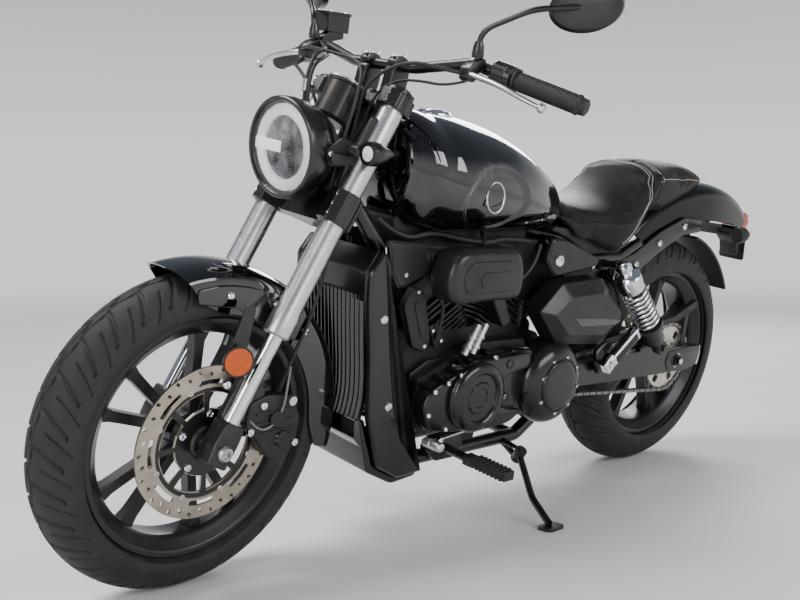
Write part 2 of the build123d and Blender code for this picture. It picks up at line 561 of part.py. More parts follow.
spring_end = SPRING_WIRE_R + SEAT_GAP
coil_height = SHOCK_LENGTH - SPRING_SEAT - SPRING_TOP - 2 * spring_end
coil_path = Helix(pitch=coil_height / COILS, height=coil_height, radius=SPRING_R)
coil = sweep(Plane(origin=coil_path @ 0, z_dir=coil_path % 0) * Circle(SPRING_WIRE_R),
             path=coil_path, is_frenet=True)
spring_start = shock_start + shock_dir * (SPRING_TOP + spring_end)
spring_place = Plane(origin=spring_start, z_dir=shock_dir).location
pieces["shock_springs"] = both(spring_place * coil)

# Final drive: a closed chain loop round both chain wheels, and its guard.


def loop(gap):
    """Outline round both chain wheels at a distance from the pitch line, as a face."""
    big = Vector(0, REAR_TYRE_R)
    small = Vector(*GEARBOX_OUT)
    r1, r2 = REAR_PITCH_R + gap, FRONT_PITCH_R + gap
    run = small - big
    base = atan2(run.Y, run.X)
    lean = asin((r1 - r2) / run.length)
    up, down = base + pi / 2 - lean, base - pi / 2 + lean

    def at(centre, radius, angle):
        return (centre.X + radius * cos(angle), centre.Y + radius * sin(angle))

    return make_face([
        Line(at(big, r1, up), at(small, r2, up)),
        ThreePointArc(at(small, r2, up), at(small, r2, base), at(small, r2, down)),
        Line(at(small, r2, down), at(big, r1, down)),
        ThreePointArc(at(big, r1, down), at(big, r1, base + pi), at(big, r1, up)),
    ])


chain_side = Plane(origin=(0, CHAIN_Y - CHAIN_HALF, 0), x_dir=(1, 0, 0), z_dir=(0, -1, 0))
pieces["drive_chain"] = extrude(
    chain_side * (loop(CHAIN_PLATE) - loop(-ROLLER_R)), amount=-2 * CHAIN_HALF)
chain_top = AXLE_Z + REAR_PITCH_R + CHAIN_PLATE
guard_outline = [(330, 372 + REAR_UP), (330, 386 + REAR_UP), (0, chain_top + 17),
                 (-100, chain_top + 55), (-112, chain_top + 39), (-24, chain_top + 5)]
chain_guard = slab(guard_outline, 3, 94, 97)
chain_guard += slab([(330, 383 + REAR_UP), (330, 386 + REAR_UP), (0, chain_top + 17),
                     (-100, chain_top + 55), (-101, chain_top + 52), (0, chain_top + 14)],
                    0.5, 82, 97)
for x, low, high in ((300, 330, 380 + REAR_UP), (-60, AXLE_Z + 11.5, chain_top + 30)):
    chain_guard += slab([(x - 9, low), (x + 9, low), (x + 9, high), (x - 9, high)], 3, 94,
                        ARM_IN - SEAT_GAP)
pieces["chain_guard"] = chain_guard

# Engine: cases, covers on both sides, and two finned cylinders in a V.

case_outline = [(958, 300), (930, 250), (800, 232), (620, 232), (536, 262), (508, 330),
                (530, 420), (640, 455), (900, 455), (962, 410)]
crankcase = slab(case_outline, 22, -92, 66)
crankcase += slab([(958, 300), (930, 250), (800, 232), (640, 232), (600, 300), (620, 424),
                   (760, 428), (830, 410), (944, 366)], 16, 66, COVER_IN)
engine_mounts = slab([(925, 280), (990 + AHEAD, 276), (996 + AHEAD, 330), (940, 340)], 4, 44, 62)
engine_mounts += slab([(700, 240), (770, 240), (756, 176), (714, 176)], 3, 48, 66)
crankcase += both(engine_mounts)
crankcase -= down_tubes(FRAME_TUBE_R + SEAT_GAP)
pieces["engine_cases"] = crankcase - rod((GEARBOX_OUT[0], 60, GEARBOX_OUT[1]),
                                         (GEARBOX_OUT[0], 120, GEARBOX_OUT[1]), 44)

front_sprocket = Pos(GEARBOX_OUT[0], 0, GEARBOX_OUT[1]) * (
    sprocket(FRONT_TEETH, CHAIN_Y, 5, 6, 0) + rod((0, 60 + SEAT_GAP, 0), (0, 92, 0), 13))
pieces["front_sprocket"] = front_sprocket

cover_outline = [(954, 318), (932, 262), (820, 246), (690, 252), (640, 330), (650, 412),
                 (770, 408), (846, 386), (936, 352)]
left_cover = slab(cover_outline, 14, COVER_IN + SEAT_GAP, COVER_OUT)
left_cover = chamfer(left_cover.faces().sort_by(Axis.Y)[-1].edges(), 9)
# A raised rib runs round the generator's cap and back along both edges to the clutch.
for arm in ([(805, 404), (650, 408), (640, 368), (805, 342)],
            [(805, 246), (690, 252), (650, 268), (655, 300), (805, 304)]):
    left_cover += slab(arm, 6, COVER_OUT - 12, COVER_OUT + 6)
left_cover += turned_about([(-10, 0), (-10, 80), (6, 80), (16, 70), (18, 60), (12, 54), (12, 34),
                            (15, 30), (15, 0)], (805, COVER_OUT, 324), (0, 1, 0), (0, 0, 1))
for x, z in ((918, 362), (866, 382), (814, 398)):
    left_cover += rod((x, 80, z), (x, COVER_OUT - 8, z), 6)
left_cover += rod((843, COVER_IN + SEAT_GAP, 384), (843, COVER_OUT - 14, 384), 14)
left_cover -= crankcase
left_cover += slab([(700, 262), (625, 262), (590, 330), (625, 410), (700, 412)], 12,
                   COVER_IN + SEAT_GAP, 126)
round_cover = turned_about(
    [(0, 0), (0, 98), (18, 97), (36, 89), (46, 76), (50, 62), (48, 59), (52, 56), (53, 50), (53, 0)],
    (561, 124, 326), (0, 1, 0), (0, 0, 1))
right_cover = slab([(922, 300), (890, 250), (640, 246), (580, 300), (600, 410), (700, 440),
                    (880, 440), (926, 400)], 26, -148, -92.3)
right_cover += turned_about([(0, 0), (0, 80), (10, 72), (12, 0)], (660, -148, 340),
                            (0, -1, 0), (0, 0, 1))
pieces["engine_covers"] = left_cover + round_cover + right_cover

cylinders = None
for lean_side in (-1, 1):
    stack = Pos(0, 0, 100) * Box(96, 104, 62, align=(Align.CENTER, Align.CENTER, Align.MIN))
    for number in range(6):
        fin = extrude(RectangleRounded(132, 142, 22), amount=5)
        stack += Pos(0, 0, 124 + number * 11) * fin
    stack += Pos(0, 0, 160) * Box(104, 112, 88, align=(Align.CENTER, Align.CENTER, Align.MIN))
    for number in range(3):
        fin = extrude(RectangleRounded(124, 132, 18), amount=6)
        stack += Pos(0, 0, 194 + number * 13) * fin
    stack += Pos(0, 0, 248) * extrude(RectangleRounded(110, 112, 26), amount=36)
    stack = Location((ENGINE_X, 0, ENGINE_Z), (0, lean_side * CYLINDER_TILT, 0)) * stack
    cylinders = stack if cylinders is None else cylinders + stack
cylinders -= slab(case_outline, 22, -110, 110)
pieces["cylinders"] = cylinders

# Air cleaner on the left between the cylinders, with a bare name plate.
air_cleaner = slab([(742, 540), (950, 540), (962, 600), (936, 648), (760, 648), (738, 600)],
                   34, 112, 184)
air_cleaner = fillet(air_cleaner.faces().sort_by(Axis.Y)[-1].edges(), 12)
air_cleaner -= slab([(770, 566), (916, 566), (922, 592), (900, 612), (776, 612), (764, 590)],
                    12, 181, 190)
air_cleaner += rod((850, 40, 594), (850, 113, 594), 34)
pieces["air_cleaner"] = air_cleaner - cylinders

# Exhaust on the right: a pipe from each cylinder into one silencer.
front_pipe = bent_tube([(918, -30, 490), (962, -56, 464), (966, -120, 400), (944, -182, 300),
                        (880, -186, 252), (430, -186, 246)], 22, PIPE_R)
REAR_PIPE = [(600, -40, 490), (548, -70, 446), (548, -134, 372), (556, -186, 290),
             (500, -188, 254)]
rear_pipe = bent_tube(REAR_PIPE, 20, PIPE_R)
silencer = turned_about([(0, 0), (0, 26), (30, 46), (500, 46), (540, 38), (540, 28),
                         (480, 28), (480, 0)], (440, -188, 246), (-1, 0, 0.04), (0.04, 0, 1))
pieces["exhaust"] = (front_pipe + rear_pipe + silencer) - cylinders - crankcase - right_cover

# Cooling: the core between the down tubes and a gloss shell round it.
core = slab([(1062, 330), (1032, 330), (1050, 560), (1080, 560)], 3, -92, 92)
core = Pos(AHEAD, 0, 0) * (core + both(rod((1008, 60, 440), (1050, 60, 440), 8)))
pieces["radiator"] = core - down_tubes(FRAME_TUBE_R + SEAT_GAP)

cowl_outline = [(1078, 640), (1112, 600), (1108, 540), (1088, 420), (1076, 300), (1040, 196),
                (980, 164), (915, 168), (985, 250), (1016, 330), (1040, 440), (1052, 540),
                (1060, 610)]
cowl_side = slab(cowl_outline, 6, 100, 118)
cowl_side = fillet(cowl_side.faces().sort_by(Axis.Y)[-1].edges(), 8)
cowl_front = slab([(1086, 640), (1112, 600), (1108, 540), (1098, 545), (1080, 620)], 2,
                  -104, 104)
cowl_belly = slab([(1076, 300), (1040, 196), (980, 164), (915, 168), (918, 152), (985, 146),
                   (1056, 184), (1090, 300)], 4, -104, 104)
cowl = Pos(AHEAD, 0, 0) * (both(cowl_side) + cowl_front + cowl_belly)
pieces["radiator_cowl"] = cowl - down_tubes(FRAME_TUBE_R + SEAT_GAP) - core

# Covers: plates beside the frame neck, the triangles under the seat, and the side cases.
neck_cover = slab([(1062, 660), (884, 640), (884, 611), (1026, 561), (1052, 600)], 5, 94, 106)
neck_cover -= slab([(960, 628), (900, 612), (900, 606), (962, 620)], 1.5, 90, 110)
triangle = slab([(590, 655), (545, 652), (412, 602), (414, 586), (572, 566), (606, 604)], 5,
                112, 126)
bolt_boss = rod((568, 126, 605), (568, 131, 605), 15)
triangle_peg = rod((470, 80, 623), (470, 113, 623), 8) - seat_rails(RAIL_R + SEAT_GAP)
neck_peg = rod((1036 + AHEAD, 60, 612), (1036 + AHEAD, 95, 612), 8) - down_tubes(
    FRAME_TUBE_R + SEAT_GAP)
pieces["frame_covers"] = both(Pos(AHEAD, 0, 0) * neck_cover + neck_peg + triangle + triangle_peg
                              + bolt_boss)
side_case = slab([(566, 556), (420, 562), (330, 480), (322, 462), (392, 400), (560, 416),
                  (634, 496)], 14, 100, 168)
side_case = chamfer(side_case.faces().sort_by(Axis.Y)[-1].edges(), 10)
case_peg = rod((470, 64, 500), (470, 101, 500), 10) - down_tubes(FRAME_TUBE_R + SEAT_GAP)
side_cases = both(side_case - rod((561, 90, 326), (561, 180, 326), 103) + case_peg)
pieces["side_cases"] = side_cases - bent_tube(REAR_PIPE, 20, PIPE_R + 4)

# Fuel tank, a loft over seven cross-sections with a channel for the backbone.


def tank_section(x, bottom, top, width, waist):
    """Cross-section at x: flat bottom, tucked sides and a round crest."""
    middle = top - waist
    foot = width * 0.74
    knee = (width * 0.95, middle - (middle - bottom) * 0.55)
    outline = [
        Line((-foot, bottom), (foot, bottom)),
        ThreePointArc((foot, bottom), knee, (width, middle)),
        ThreePointArc((width, middle), (0, top), (-width, middle)),
        ThreePointArc((-width, middle), (-knee[0], knee[1]), (-foot, bottom)),
    ]
    return Plane(origin=(x, 0, 0), x_dir=(0, 1, 0), z_dir=(1, 0, 0)) * make_face(outline)


tank_rows = (
    # x, bottom, top, half width, crest height
    (1032 + AHEAD, 742, 858, 70, 58),
    (1004 + AHEAD, 698, 896, 114, 106),
    (930 + AHEAD, 664, 903, 146, 138),
    (830, 660, 895, 152, 140),
    (720, 660, 870, 146, 132),
    (610, 660, 828, 122, 112),
    (530, 668, 778, 86, 76),
    (492, 680, 736, 50, 40),
)


def lofted(rows, gap=0.0):
    """Body over rows of (x, bottom, top, half width, crest height), grown by a gap."""
    return loft([tank_section(x, low - gap, high + gap, half + gap, crest)
                 for x, low, high, half, crest in rows])


tank = lofted(tank_rows)
channel = slab([(470, 600), (470, 700), (700, 780), (920, 830), (1080 + AHEAD, 845),
                (1080 + AHEAD, 600)], 4, -42, 42)
tank -= channel
tank -= FORK * rod((-FORK_OFFSET, 0, 400), (-FORK_OFFSET, 0, 800), 50)
pieces["fuel_tank"] = tank
for x0, x1, z0, z1 in ((860, 900, 795, 850), (600, 640, 690, 800)):
    saddle = slab([(x0, z0), (x1, z0), (x1, z1), (x0, z1)], 1, -18, 18) - tank
    pieces["main_frame"] += saddle
pieces["filler_cap"] = turned_about([(0, 0), (0, 36), (8, 34), (11, 24), (12, 0)],
                                    (880, 0, 896), (-0.06, 0, 1), (1, 0, 0.06)) - tank

# Seats and rear fender.
rail_room = seat_rails(RAIL_R + SEAT_GAP)
rear_fender = mudguard(FENDER_CENTRE, FENDER_R, FENDER_HALF, FENDER_DEPTH, FENDER_WALL, 54, 121.5)
rear_fender -= rail_room
fender_space = turned([(-FENDER_HALF, 0), *[(y, r + 0.5) for y, r in shell_section(
    FENDER_R, FENDER_HALF, FENDER_DEPTH, FENDER_WALL)[:7]], (FENDER_HALF, 0)],
    (FENDER_CENTRE[0], 0, FENDER_CENTRE[1]))
guard_r = REAR_TYRE_R + TYRE_ROOM
inner_guard = turned([(-70, guard_r), (-70, guard_r + 6), (70, guard_r + 6), (70, guard_r)],
                     REAR_AXLE, 44)
inner_guard = inner_guard.rotate(Axis(REAR_AXLE, (0, 1, 0)), 90 - 150)
rib_low = AXLE_Z + guard_r - 21
rib_top = FENDER_CENTRE[1] + FENDER_R - FENDER_WALL
guard_rib = slab([(-132, rib_low), (-84, rib_low + 9), (-84, rib_top), (-132, rib_top - 1)], 3,
                 -24, 24)
pieces["rear_fender"] = rear_fender + inner_guard + guard_rib

seat_rows = (
    (548, 668, 700, 92, 26),
    (500, 664, 728, 108, 34),
    (440, 648, 722, 124, 36),
    (380, 626, 723, 140, 40),
    (330, 613, 732, 148, 46),
    (290, 652, 750, 146, 46),
    (250, 704, 776, 142, 42),
    (215, 748, 806, 134, 34),
    (190, 784, 823, 124, 22),
    (178, 801, 824, 112, 12),
)
rider_seat = lofted(seat_rows) - lofted(tank_rows, SEAT_GAP) - fender_space - rail_room
pieces["rider_seat"] = rider_seat - slab(
    [(560, 690), (504, 684), (380, 640), (300, 640), (300, 560), (560, 560)], 2, -98, 98)
pillion_rows = (
    (244, 690, 764, 120, 30),
    (200, 700, 817, 117, 30),
    (130, 706, 822, 110, 26),
    (60, 716, 820, 99, 24),
    (-20, 738, 813, 86, 24),
    (-70, 752, 804, 66, 22),
    (-97, 764, 794, 40, 14),
)
front_of_seam = slab([(172, 832), (228, 745), (328, 617), (500, 611), (501, 832)], 1, -160, 160)
pieces["pillion_seat"] = (lofted(pillion_rows) - fender_space - front_of_seam
                          - lofted(seat_rows, SEAT_GAP))

strut = slab([(318, 552), (215, 556), (130, 603), (35, 645), (-52, 652), (-52, 684),
              (35, 692), (140, 656), (236, 606), (318, 584)], 6,
             FENDER_HALF + SEAT_GAP, 102)
strut_bolts = None
for x, z in ((37, 669), (140, 628), (230, 577)):
    bolt = rod((x, 102, z), (x, 108, z), 9)
    strut_bolts = bolt if strut_bolts is None else strut_bolts + bolt
pieces["fender_struts"] = both(strut + strut_bolts) - rail_room

rear_indicator = indicator(-176, -112, 172, 656) + rod((-150, 93, 656), (-150, 156, 656), 8)
strut_arm = slab([(-52.3, 654), (-52.3, 682), (-150, 672), (-166, 656), (-150, 644)], 3, 93, 100)
pieces["rear_indicators"] = both(rear_indicator) + both(strut_arm)

lamp_body = slab([(-366, 694), (-398, 686), (-404, 664), (-396, 646), (-372, 650)], 5, -44, 44)
pieces["tail_lamp"] = lamp_body - rear_fender
holder = slab([(-372, 649), (-397, 645), (-408, 565), (-388, 560), (-376, 600),
               (-352, 620)], 4, -30, 30)
holder += slab([(-396, 646), (-400, 646), (-414, 540), (-410, 540)], 0.5, -58, 58)
pieces["plate_holder"] = holder - rear_fender - lamp_body

# Foot controls and pegs.
peg_plate = slab([(866, 222), (790, 226), (766, 196), (790, 166), (850, 166), (884, 200)], 8,
                 68, 89)
rider_peg = rod((826, 88, 198), (826, 176, 198), 9) + rod((826, 176, 198), (826, 282, 204), 14)
shifter = bent_tube([(868, 96, 208), (900, 150, 222), (975, 176, 262)], 12, 5.5)
shifter += rod((975, 170, 262), (975, 226, 262), 9) + rod((868, 80, 208), (868, 104, 208), 13)
pieces["footrests"] = both(peg_plate + rider_peg + shifter) - down_tubes(
    FRAME_TUBE_R + SEAT_GAP)

pillion_bracket = slab([(372, 320), (392, 380), (352, 402), (322, 380), (322, 330)], 8,
                       130, 142)
pillion_bracket += rod((352, 122.3, 336), (352, 131, 336), 12)
pillion_peg = slab([(374, 368), (358, 348), (270, 412), (286, 434)], 5, 150, 176)
pillion_peg += slab([(372, 330), (394, 352), (366, 378), (342, 356)], 4, 141, 172)
pieces["passenger_pegs"] = both(pillion_bracket + pillion_peg)

# Side stand, hinged so that the weight of the machine holds it on its stop.
pin = rod(stand_pin - STAND_AXIS * 16, stand_pin + STAND_AXIS * 16, 6)
lower_hub = rod(stand_pin - STAND_AXIS * 8, stand_pin + STAND_AXIS * 8, 14, 6 + RUNNING_FIT)
ears = rod(stand_pin - STAND_AXIS * 16, stand_pin - STAND_AXIS * 8.5, 14, 6)
ears += rod(stand_pin + STAND_AXIS * 8.5, stand_pin + STAND_AXIS * 16, 14, 6)
pieces["stand_mount"] = pin + ears
foot_top = Vector(STAND_FOOT[0], STAND_FOOT[1] - 6, foot_z + 9)
knee = Vector(650, 210, 86)
leg_start = stand_pin + STAND_LEG.normalized() * 11
leg = bent_tube([leg_start, knee, foot_top], 60, 8)
ground_plane = Plane(origin=(STAND_FOOT[0], STAND_FOOT[1], foot_z), x_dir=(1, 0, 0),
                     z_dir=(0, -sin(radians(LEAN)), cos(radians(LEAN))))
pad = ground_plane.location * extrude(RectangleRounded(54, 40, 12), amount=7)
pieces["side_stand"] = lower_hub + (leg - rod(stand_pin - STAND_AXIS * 9, stand_pin + STAND_AXIS * 9,
                                              12)) + pad

# Place the machine: steer the front, lean it to the left, then level both wheels on the ground.

STEERING = {
    "fork_yokes", "fork_outers", "fork_sliders", "brake_caliper", "front_fender", "handlebar",
    "bar_risers", "grips", "switchgear", "hand_levers", "mirrors", "mirror_glass", "instrument",
    "headlight_shell", "headlight_lens", "headlight_arms", "front_indicators",
    "control_cables", "front_tyre", "front_rim", "front_disc",
}
lean_turn = Location((0, 0, 0), (-LEAN, 0, 0))
steer_axis = Axis(STEER_POINT, UP_FORK)
level = Pos(0, 0, rear_lift) * Rot(0, pitch, 0)
placed = {}
for name, shape in pieces.items():
    if name in STEERING:
        shape = shape.rotate(steer_axis, STEER_REST)
    placed[name] = level * lean_turn * shape

boxes = [shape.bounding_box() for shape in placed.values()]
centre_x = (min(b.min.X for b in boxes) + max(b.max.X for b in boxes)) / 2
centre_y = (min(b.min.Y for b in boxes) + max(b.max.Y for b in boxes)) / 2
lowest = min(b.min.Z for b in boxes)
for name, shape in placed.items():
    shape = Pos(-centre_x, -centre_y, -lowest) * shape
    solids = shape.solids()
    export_step(Compound(children=list(solids)) if len(solids) > 1 else solids[0],
                f"parts/{name}.step")
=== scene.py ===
# %% [markdown]
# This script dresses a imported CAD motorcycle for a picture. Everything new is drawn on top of
# them, and each new piece says which moving body it belongs to, so it travels with the wheels,
# the bars or the side stand.

# %% Load the solids
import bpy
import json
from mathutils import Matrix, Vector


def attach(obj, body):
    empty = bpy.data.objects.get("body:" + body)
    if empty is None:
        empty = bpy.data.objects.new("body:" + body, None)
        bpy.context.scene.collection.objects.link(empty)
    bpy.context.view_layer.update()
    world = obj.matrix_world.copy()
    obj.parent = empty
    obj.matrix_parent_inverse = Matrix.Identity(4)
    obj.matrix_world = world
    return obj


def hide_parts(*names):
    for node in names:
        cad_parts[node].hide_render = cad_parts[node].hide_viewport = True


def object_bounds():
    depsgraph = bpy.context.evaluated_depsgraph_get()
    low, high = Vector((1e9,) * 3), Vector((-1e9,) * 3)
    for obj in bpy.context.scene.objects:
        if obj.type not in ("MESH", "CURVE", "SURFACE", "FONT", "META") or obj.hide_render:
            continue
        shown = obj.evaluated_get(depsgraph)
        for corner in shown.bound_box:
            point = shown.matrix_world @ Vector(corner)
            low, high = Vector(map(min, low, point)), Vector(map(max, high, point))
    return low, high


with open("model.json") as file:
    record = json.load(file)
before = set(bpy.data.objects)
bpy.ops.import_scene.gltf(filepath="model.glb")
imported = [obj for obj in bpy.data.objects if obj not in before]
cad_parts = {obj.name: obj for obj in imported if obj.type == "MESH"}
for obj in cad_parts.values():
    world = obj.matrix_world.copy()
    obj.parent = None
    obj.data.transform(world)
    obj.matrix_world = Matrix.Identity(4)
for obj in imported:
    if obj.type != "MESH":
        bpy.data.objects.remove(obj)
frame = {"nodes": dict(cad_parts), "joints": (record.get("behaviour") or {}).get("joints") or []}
cad_box = [list(corner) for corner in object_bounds()]
print("solids:", len(frame["nodes"]), "box:", [[round(v, 3) for v in c] for c in cad_box])

# %% Tools
import bpy
import bmesh
import json
import numpy as np
from mathutils import Matrix, Vector
print("blender", bpy.app.version_string, "numpy", np.__version__)

# %% [markdown]
# A motorcycle is easiest to draw standing upright: x runs forward from the rear axle, y to the
# rider's left, z up from the ground, all in millimetres. The real pose leans to the left on the
# side stand with the bars turned a little, so one function carries upright points to that pose.
# The place of the rear axle comes from its joint in the record, which keeps both files in step.
# PITCH is the small turn that sets both leaning tyres on the floor.

# %% From the upright machine to the leaning one
LEAN, STEER = np.radians(-10.0), np.radians(3.5)
RAKE, OFFSET = np.radians(28.5), 30.0
FRONT_AXLE, REAR_AXLE = np.array([1420.0, 0, 299.0]), np.array([0, 0, 310.5])
PITCH = np.radians(0.0476138)
joints = {joint["name"]: joint for joint in frame["joints"]}


def spin(axis, angle):
    """Matrix that turns by an angle about an axis: cos I + sin K + (1 - cos) a a'.

    K is the cross product with the unit axis a, and a a' keeps what lies along it.
    """
    x, y, z = np.asarray(axis, float) / np.linalg.norm(axis)
    cross = np.array([[0, -z, y], [z, 0, -x], [-y, x, 0]])
    outer = np.outer((x, y, z), (x, y, z))
    return np.cos(angle) * np.eye(3) + np.sin(angle) * cross + (1 - np.cos(angle)) * outer


UP_FORK = np.array([-np.sin(RAKE), 0, np.cos(RAKE)])
FORE_FORK = np.array([np.cos(RAKE), 0, np.sin(RAKE)])
STEER_POINT = FRONT_AXLE - FORE_FORK * OFFSET
tilt = spin((0, 1, 0), PITCH) @ spin((1, 0, 0), LEAN)
shift = np.array(joints["rear_wheel_spin"]["pos_m"]) * 1000 - tilt @ REAR_AXLE


def placed(points, steered=False):
    """Upright millimetres to leaning metres: steer about the fork, lean, pitch, shift, scale."""
    points = np.asarray(points, float).reshape(-1, 3)
    if steered:
        points = (points - STEER_POINT) @ spin(UP_FORK, STEER).T + STEER_POINT
    return (points @ tilt.T + shift) / 1000


def fork(points):
    """Fork measures to upright ones: x ahead of the legs, y left, z up the legs from the axle."""
    x, y, z = np.asarray(points, float).reshape(-1, 3).T
    return FRONT_AXLE + x[:, None] * FORE_FORK + y[:, None] * (0, 1, 0) + z[:, None] * UP_FORK


print("front axle off its joint by", np.round(placed(FRONT_AXLE, True)[0]
    - joints["front_wheel_spin"]["pos_m"], 6))

# %% [markdown]
# The camera stands where the photograph was taken from. Its place, aim and focal length were
# worked out from the round rims, the fork tubes and the headlight, with the sizes that are usual
# for them. A camera looks down its own -z, so its matrix holds right, up and backwards.

# %% Camera
CAMERA_YAW, CAMERA_DOWN, CAMERA_ROLL = np.radians([227.43, -4.76, -0.65])
CAMERA_PLACE = np.array([2361.4, 1657.49, 678.96])
FOCAL_PIXELS, PICTURE_PIXELS, SENSOR_WIDTH = 1015.15, 800, 36.0

ahead = np.array([np.cos(CAMERA_YAW) * np.cos(CAMERA_DOWN), np.sin(CAMERA_YAW) * np.cos(CAMERA_DOWN),
    np.sin(CAMERA_DOWN)])
across = np.cross(ahead, (0, 0, 1))
across /= np.linalg.norm(across)
above = np.cross(across, ahead)
right = across * np.cos(CAMERA_ROLL) + above * np.sin(CAMERA_ROLL)
upward = -across * np.sin(CAMERA_ROLL) + above * np.cos(CAMERA_ROLL)
eye = (CAMERA_PLACE + shift * (1, 1, 0)) / 1000
lens = bpy.data.cameras.new("camera")
lens.sensor_width = SENSOR_WIDTH
lens.lens = FOCAL_PIXELS / PICTURE_PIXELS * SENSOR_WIDTH
camera = bpy.data.objects.new("camera", lens)
camera.matrix_world = Matrix([*np.column_stack([right, upward, -ahead, eye]).tolist(), (0, 0, 0, 1)])
bpy.context.scene.collection.objects.link(camera)
bpy.context.scene.camera = camera
print("camera at", np.round(camera.location, 3), "lens", round(lens.lens, 2))

# %% [markdown]
# A finish is a few shader nodes. Real paint, rubber and metal are never one flat value, so a noise
# in object coordinates moves colour and roughness a little, and a finer one bumps the surface.

# %% A finish and its noises
RAMP_STOPS = (0.35, 0.7)
COAT_ROUGHNESS, RELIEF_HEIGHT = 0.04, 0.0006
USUAL_GRAIN, USUAL_BUMP = 60.0, 900.0
BROAD_DETAIL, FINE_DETAIL = 4, 2


def noise_on(nodes, links, mapping, scale, detail):
    """Noise texture on mapped object coordinates, with about so many grains to the metre."""
    texture = nodes.new("ShaderNodeTexNoise")
    texture.inputs["Scale"].default_value = scale
    texture.inputs["Detail"].default_value = detail
    links.new(mapping.outputs["Vector"], texture.inputs["Vector"])
    return texture


def relief_on(nodes, links, height, strength, shader):
    """Bump that tilts the shader's normal with the slope of a height texture."""
    relief = nodes.new("ShaderNodeBump")
    relief.inputs["Strength"].default_value = strength
    relief.inputs["Distance"].default_value = RELIEF_HEIGHT
    links.new(height.outputs["Fac"], relief.inputs["Height"])
    links.new(relief.outputs["Normal"], shader.inputs["Normal"])


def finish(name, dark, light, smooth, rough, metal=0.0, coat=0.0, grain=USUAL_GRAIN, bump=0.0,
        bump_size=USUAL_BUMP, stretch=(1, 1, 1), **sockets):
    """Principled shader: a broad noise runs its colour from dark to light and its roughness from
    smooth to rough, and a fine noise may bump it."""
    material = bpy.data.materials.new(name)
    material.use_nodes = True
    nodes, links = material.node_tree.nodes, material.node_tree.links
    shader = nodes["Principled BSDF"]
    mapping = nodes.new("ShaderNodeMapping")
    mapping.inputs["Scale"].default_value = stretch
    links.new(nodes.new("ShaderNodeTexCoord").outputs["Object"], mapping.inputs["Vector"])
    broad = noise_on(nodes, links, mapping, grain, BROAD_DETAIL)
    ramp = nodes.new("ShaderNodeValToRGB")
    for stop, place, tone in zip(ramp.color_ramp.elements, RAMP_STOPS, (dark, light)):
        stop.position = place
        stop.color = (*tone, 1)
    links.new(broad.outputs["Fac"], ramp.inputs["Fac"])
    links.new(ramp.outputs["Color"], shader.inputs["Base Color"])
    spread = nodes.new("ShaderNodeMapRange")
    spread.inputs["To Min"].default_value = smooth
    spread.inputs["To Max"].default_value = rough
    links.new(broad.outputs["Fac"], spread.inputs["Value"])
    links.new(spread.outputs["Result"], shader.inputs["Roughness"])
    shader.inputs["Metallic"].default_value = metal
    shader.inputs["Coat Weight"].default_value = coat
    shader.inputs["Coat Roughness"].default_value = COAT_ROUGHNESS
    for socket, value in sockets.items():
        shader.inputs[socket.replace("_", " ")].default_value = value
    if bump:
        relief_on(nodes, links, noise_on(nodes, links, mapping, bump_size, FINE_DETAIL), bump, shader)
    return material


print("usual grain and bump in mm:", round(1000 / USUAL_GRAIN, 1), round(1000 / USUAL_BUMP, 1))

# %% [markdown]
# The machine is black all over, yet no two castings share one black. What tells lacquer, satin
# frame and dull crankcase apart is mostly roughness, so each black has a pair of its own.

# %% Black paints
gloss_black = finish("gloss_black", (0.002, 0.002, 0.0024), (0.003, 0.003, 0.0036), 0.05, 0.09, coat=1.0,
    grain=8)
satin_black = finish("satin_black", (0.0036, 0.0035, 0.0034), (0.006, 0.0058, 0.0056), 0.26, 0.36,
    coat=0.25, grain=30, bump=0.08, bump_size=1500)
matte_black = finish("matte_black", (0.007, 0.007, 0.007), (0.012, 0.012, 0.012), 0.48, 0.62, grain=40,
    bump=0.2, bump_size=1400)
cast_black = finish("cast_black", (0.006, 0.0056, 0.0052), (0.011, 0.0102, 0.0096), 0.34, 0.48, grain=70,
    bump=0.5, bump_size=2200)
cover_black = finish("cover_black", (0.01, 0.009, 0.0082), (0.016, 0.0145, 0.0135), 0.2, 0.29, metal=0.4,
    coat=0.3, grain=25, bump=0.06, bump_size=1800)
bronze_black = finish("bronze_black", (0.019, 0.016, 0.014), (0.027, 0.023, 0.021), 0.3, 0.4, metal=0.35,
    coat=0.1, grain=22, bump=0.1, bump_size=2000)
print("blacks:", len(bpy.data.materials))

# %% [markdown]
# Rubber is dark and dull, bare metal is all reflection, and a lens is a bright colour under a
# clear coat. Bare metal takes a metallic value near one, because half of it looks like plastic.

# %% Rubbers and metals
rubber = finish("rubber", (0.008, 0.008, 0.008), (0.017, 0.0165, 0.016), 0.6, 0.78, grain=28, bump=0.35,
    bump_size=1100)
soft_rubber = finish("soft_rubber", (0.007, 0.007, 0.007), (0.011, 0.011, 0.011), 0.5, 0.62, grain=80,
    bump=0.2, bump_size=1600)
chrome = finish("chrome", (0.78, 0.78, 0.8), (0.86, 0.86, 0.88), 0.05, 0.1, metal=1.0, grain=20)
silver = finish("silver", (0.62, 0.62, 0.64), (0.7, 0.7, 0.72), 0.24, 0.34, metal=1.0, grain=40, bump=0.05,
    bump_size=3000, stretch=(1, 1, 6))
alloy = finish("alloy", (0.42, 0.42, 0.43), (0.56, 0.56, 0.57), 0.3, 0.42, metal=1.0, grain=60, bump=0.1,
    bump_size=2600)
disc_steel = finish("disc_steel", (0.42, 0.37, 0.3), (0.56, 0.5, 0.42), 0.28, 0.42, metal=1.0, grain=35,
    bump=0.06, bump_size=4000)
chain_steel = finish("chain_steel", (0.2, 0.19, 0.18), (0.36, 0.34, 0.32), 0.35, 0.5, metal=1.0, grain=160)
sprocket_steel = finish("sprocket_steel", (0.62, 0.58, 0.5), (0.78, 0.74, 0.66), 0.3, 0.42, metal=0.9,
    grain=40)
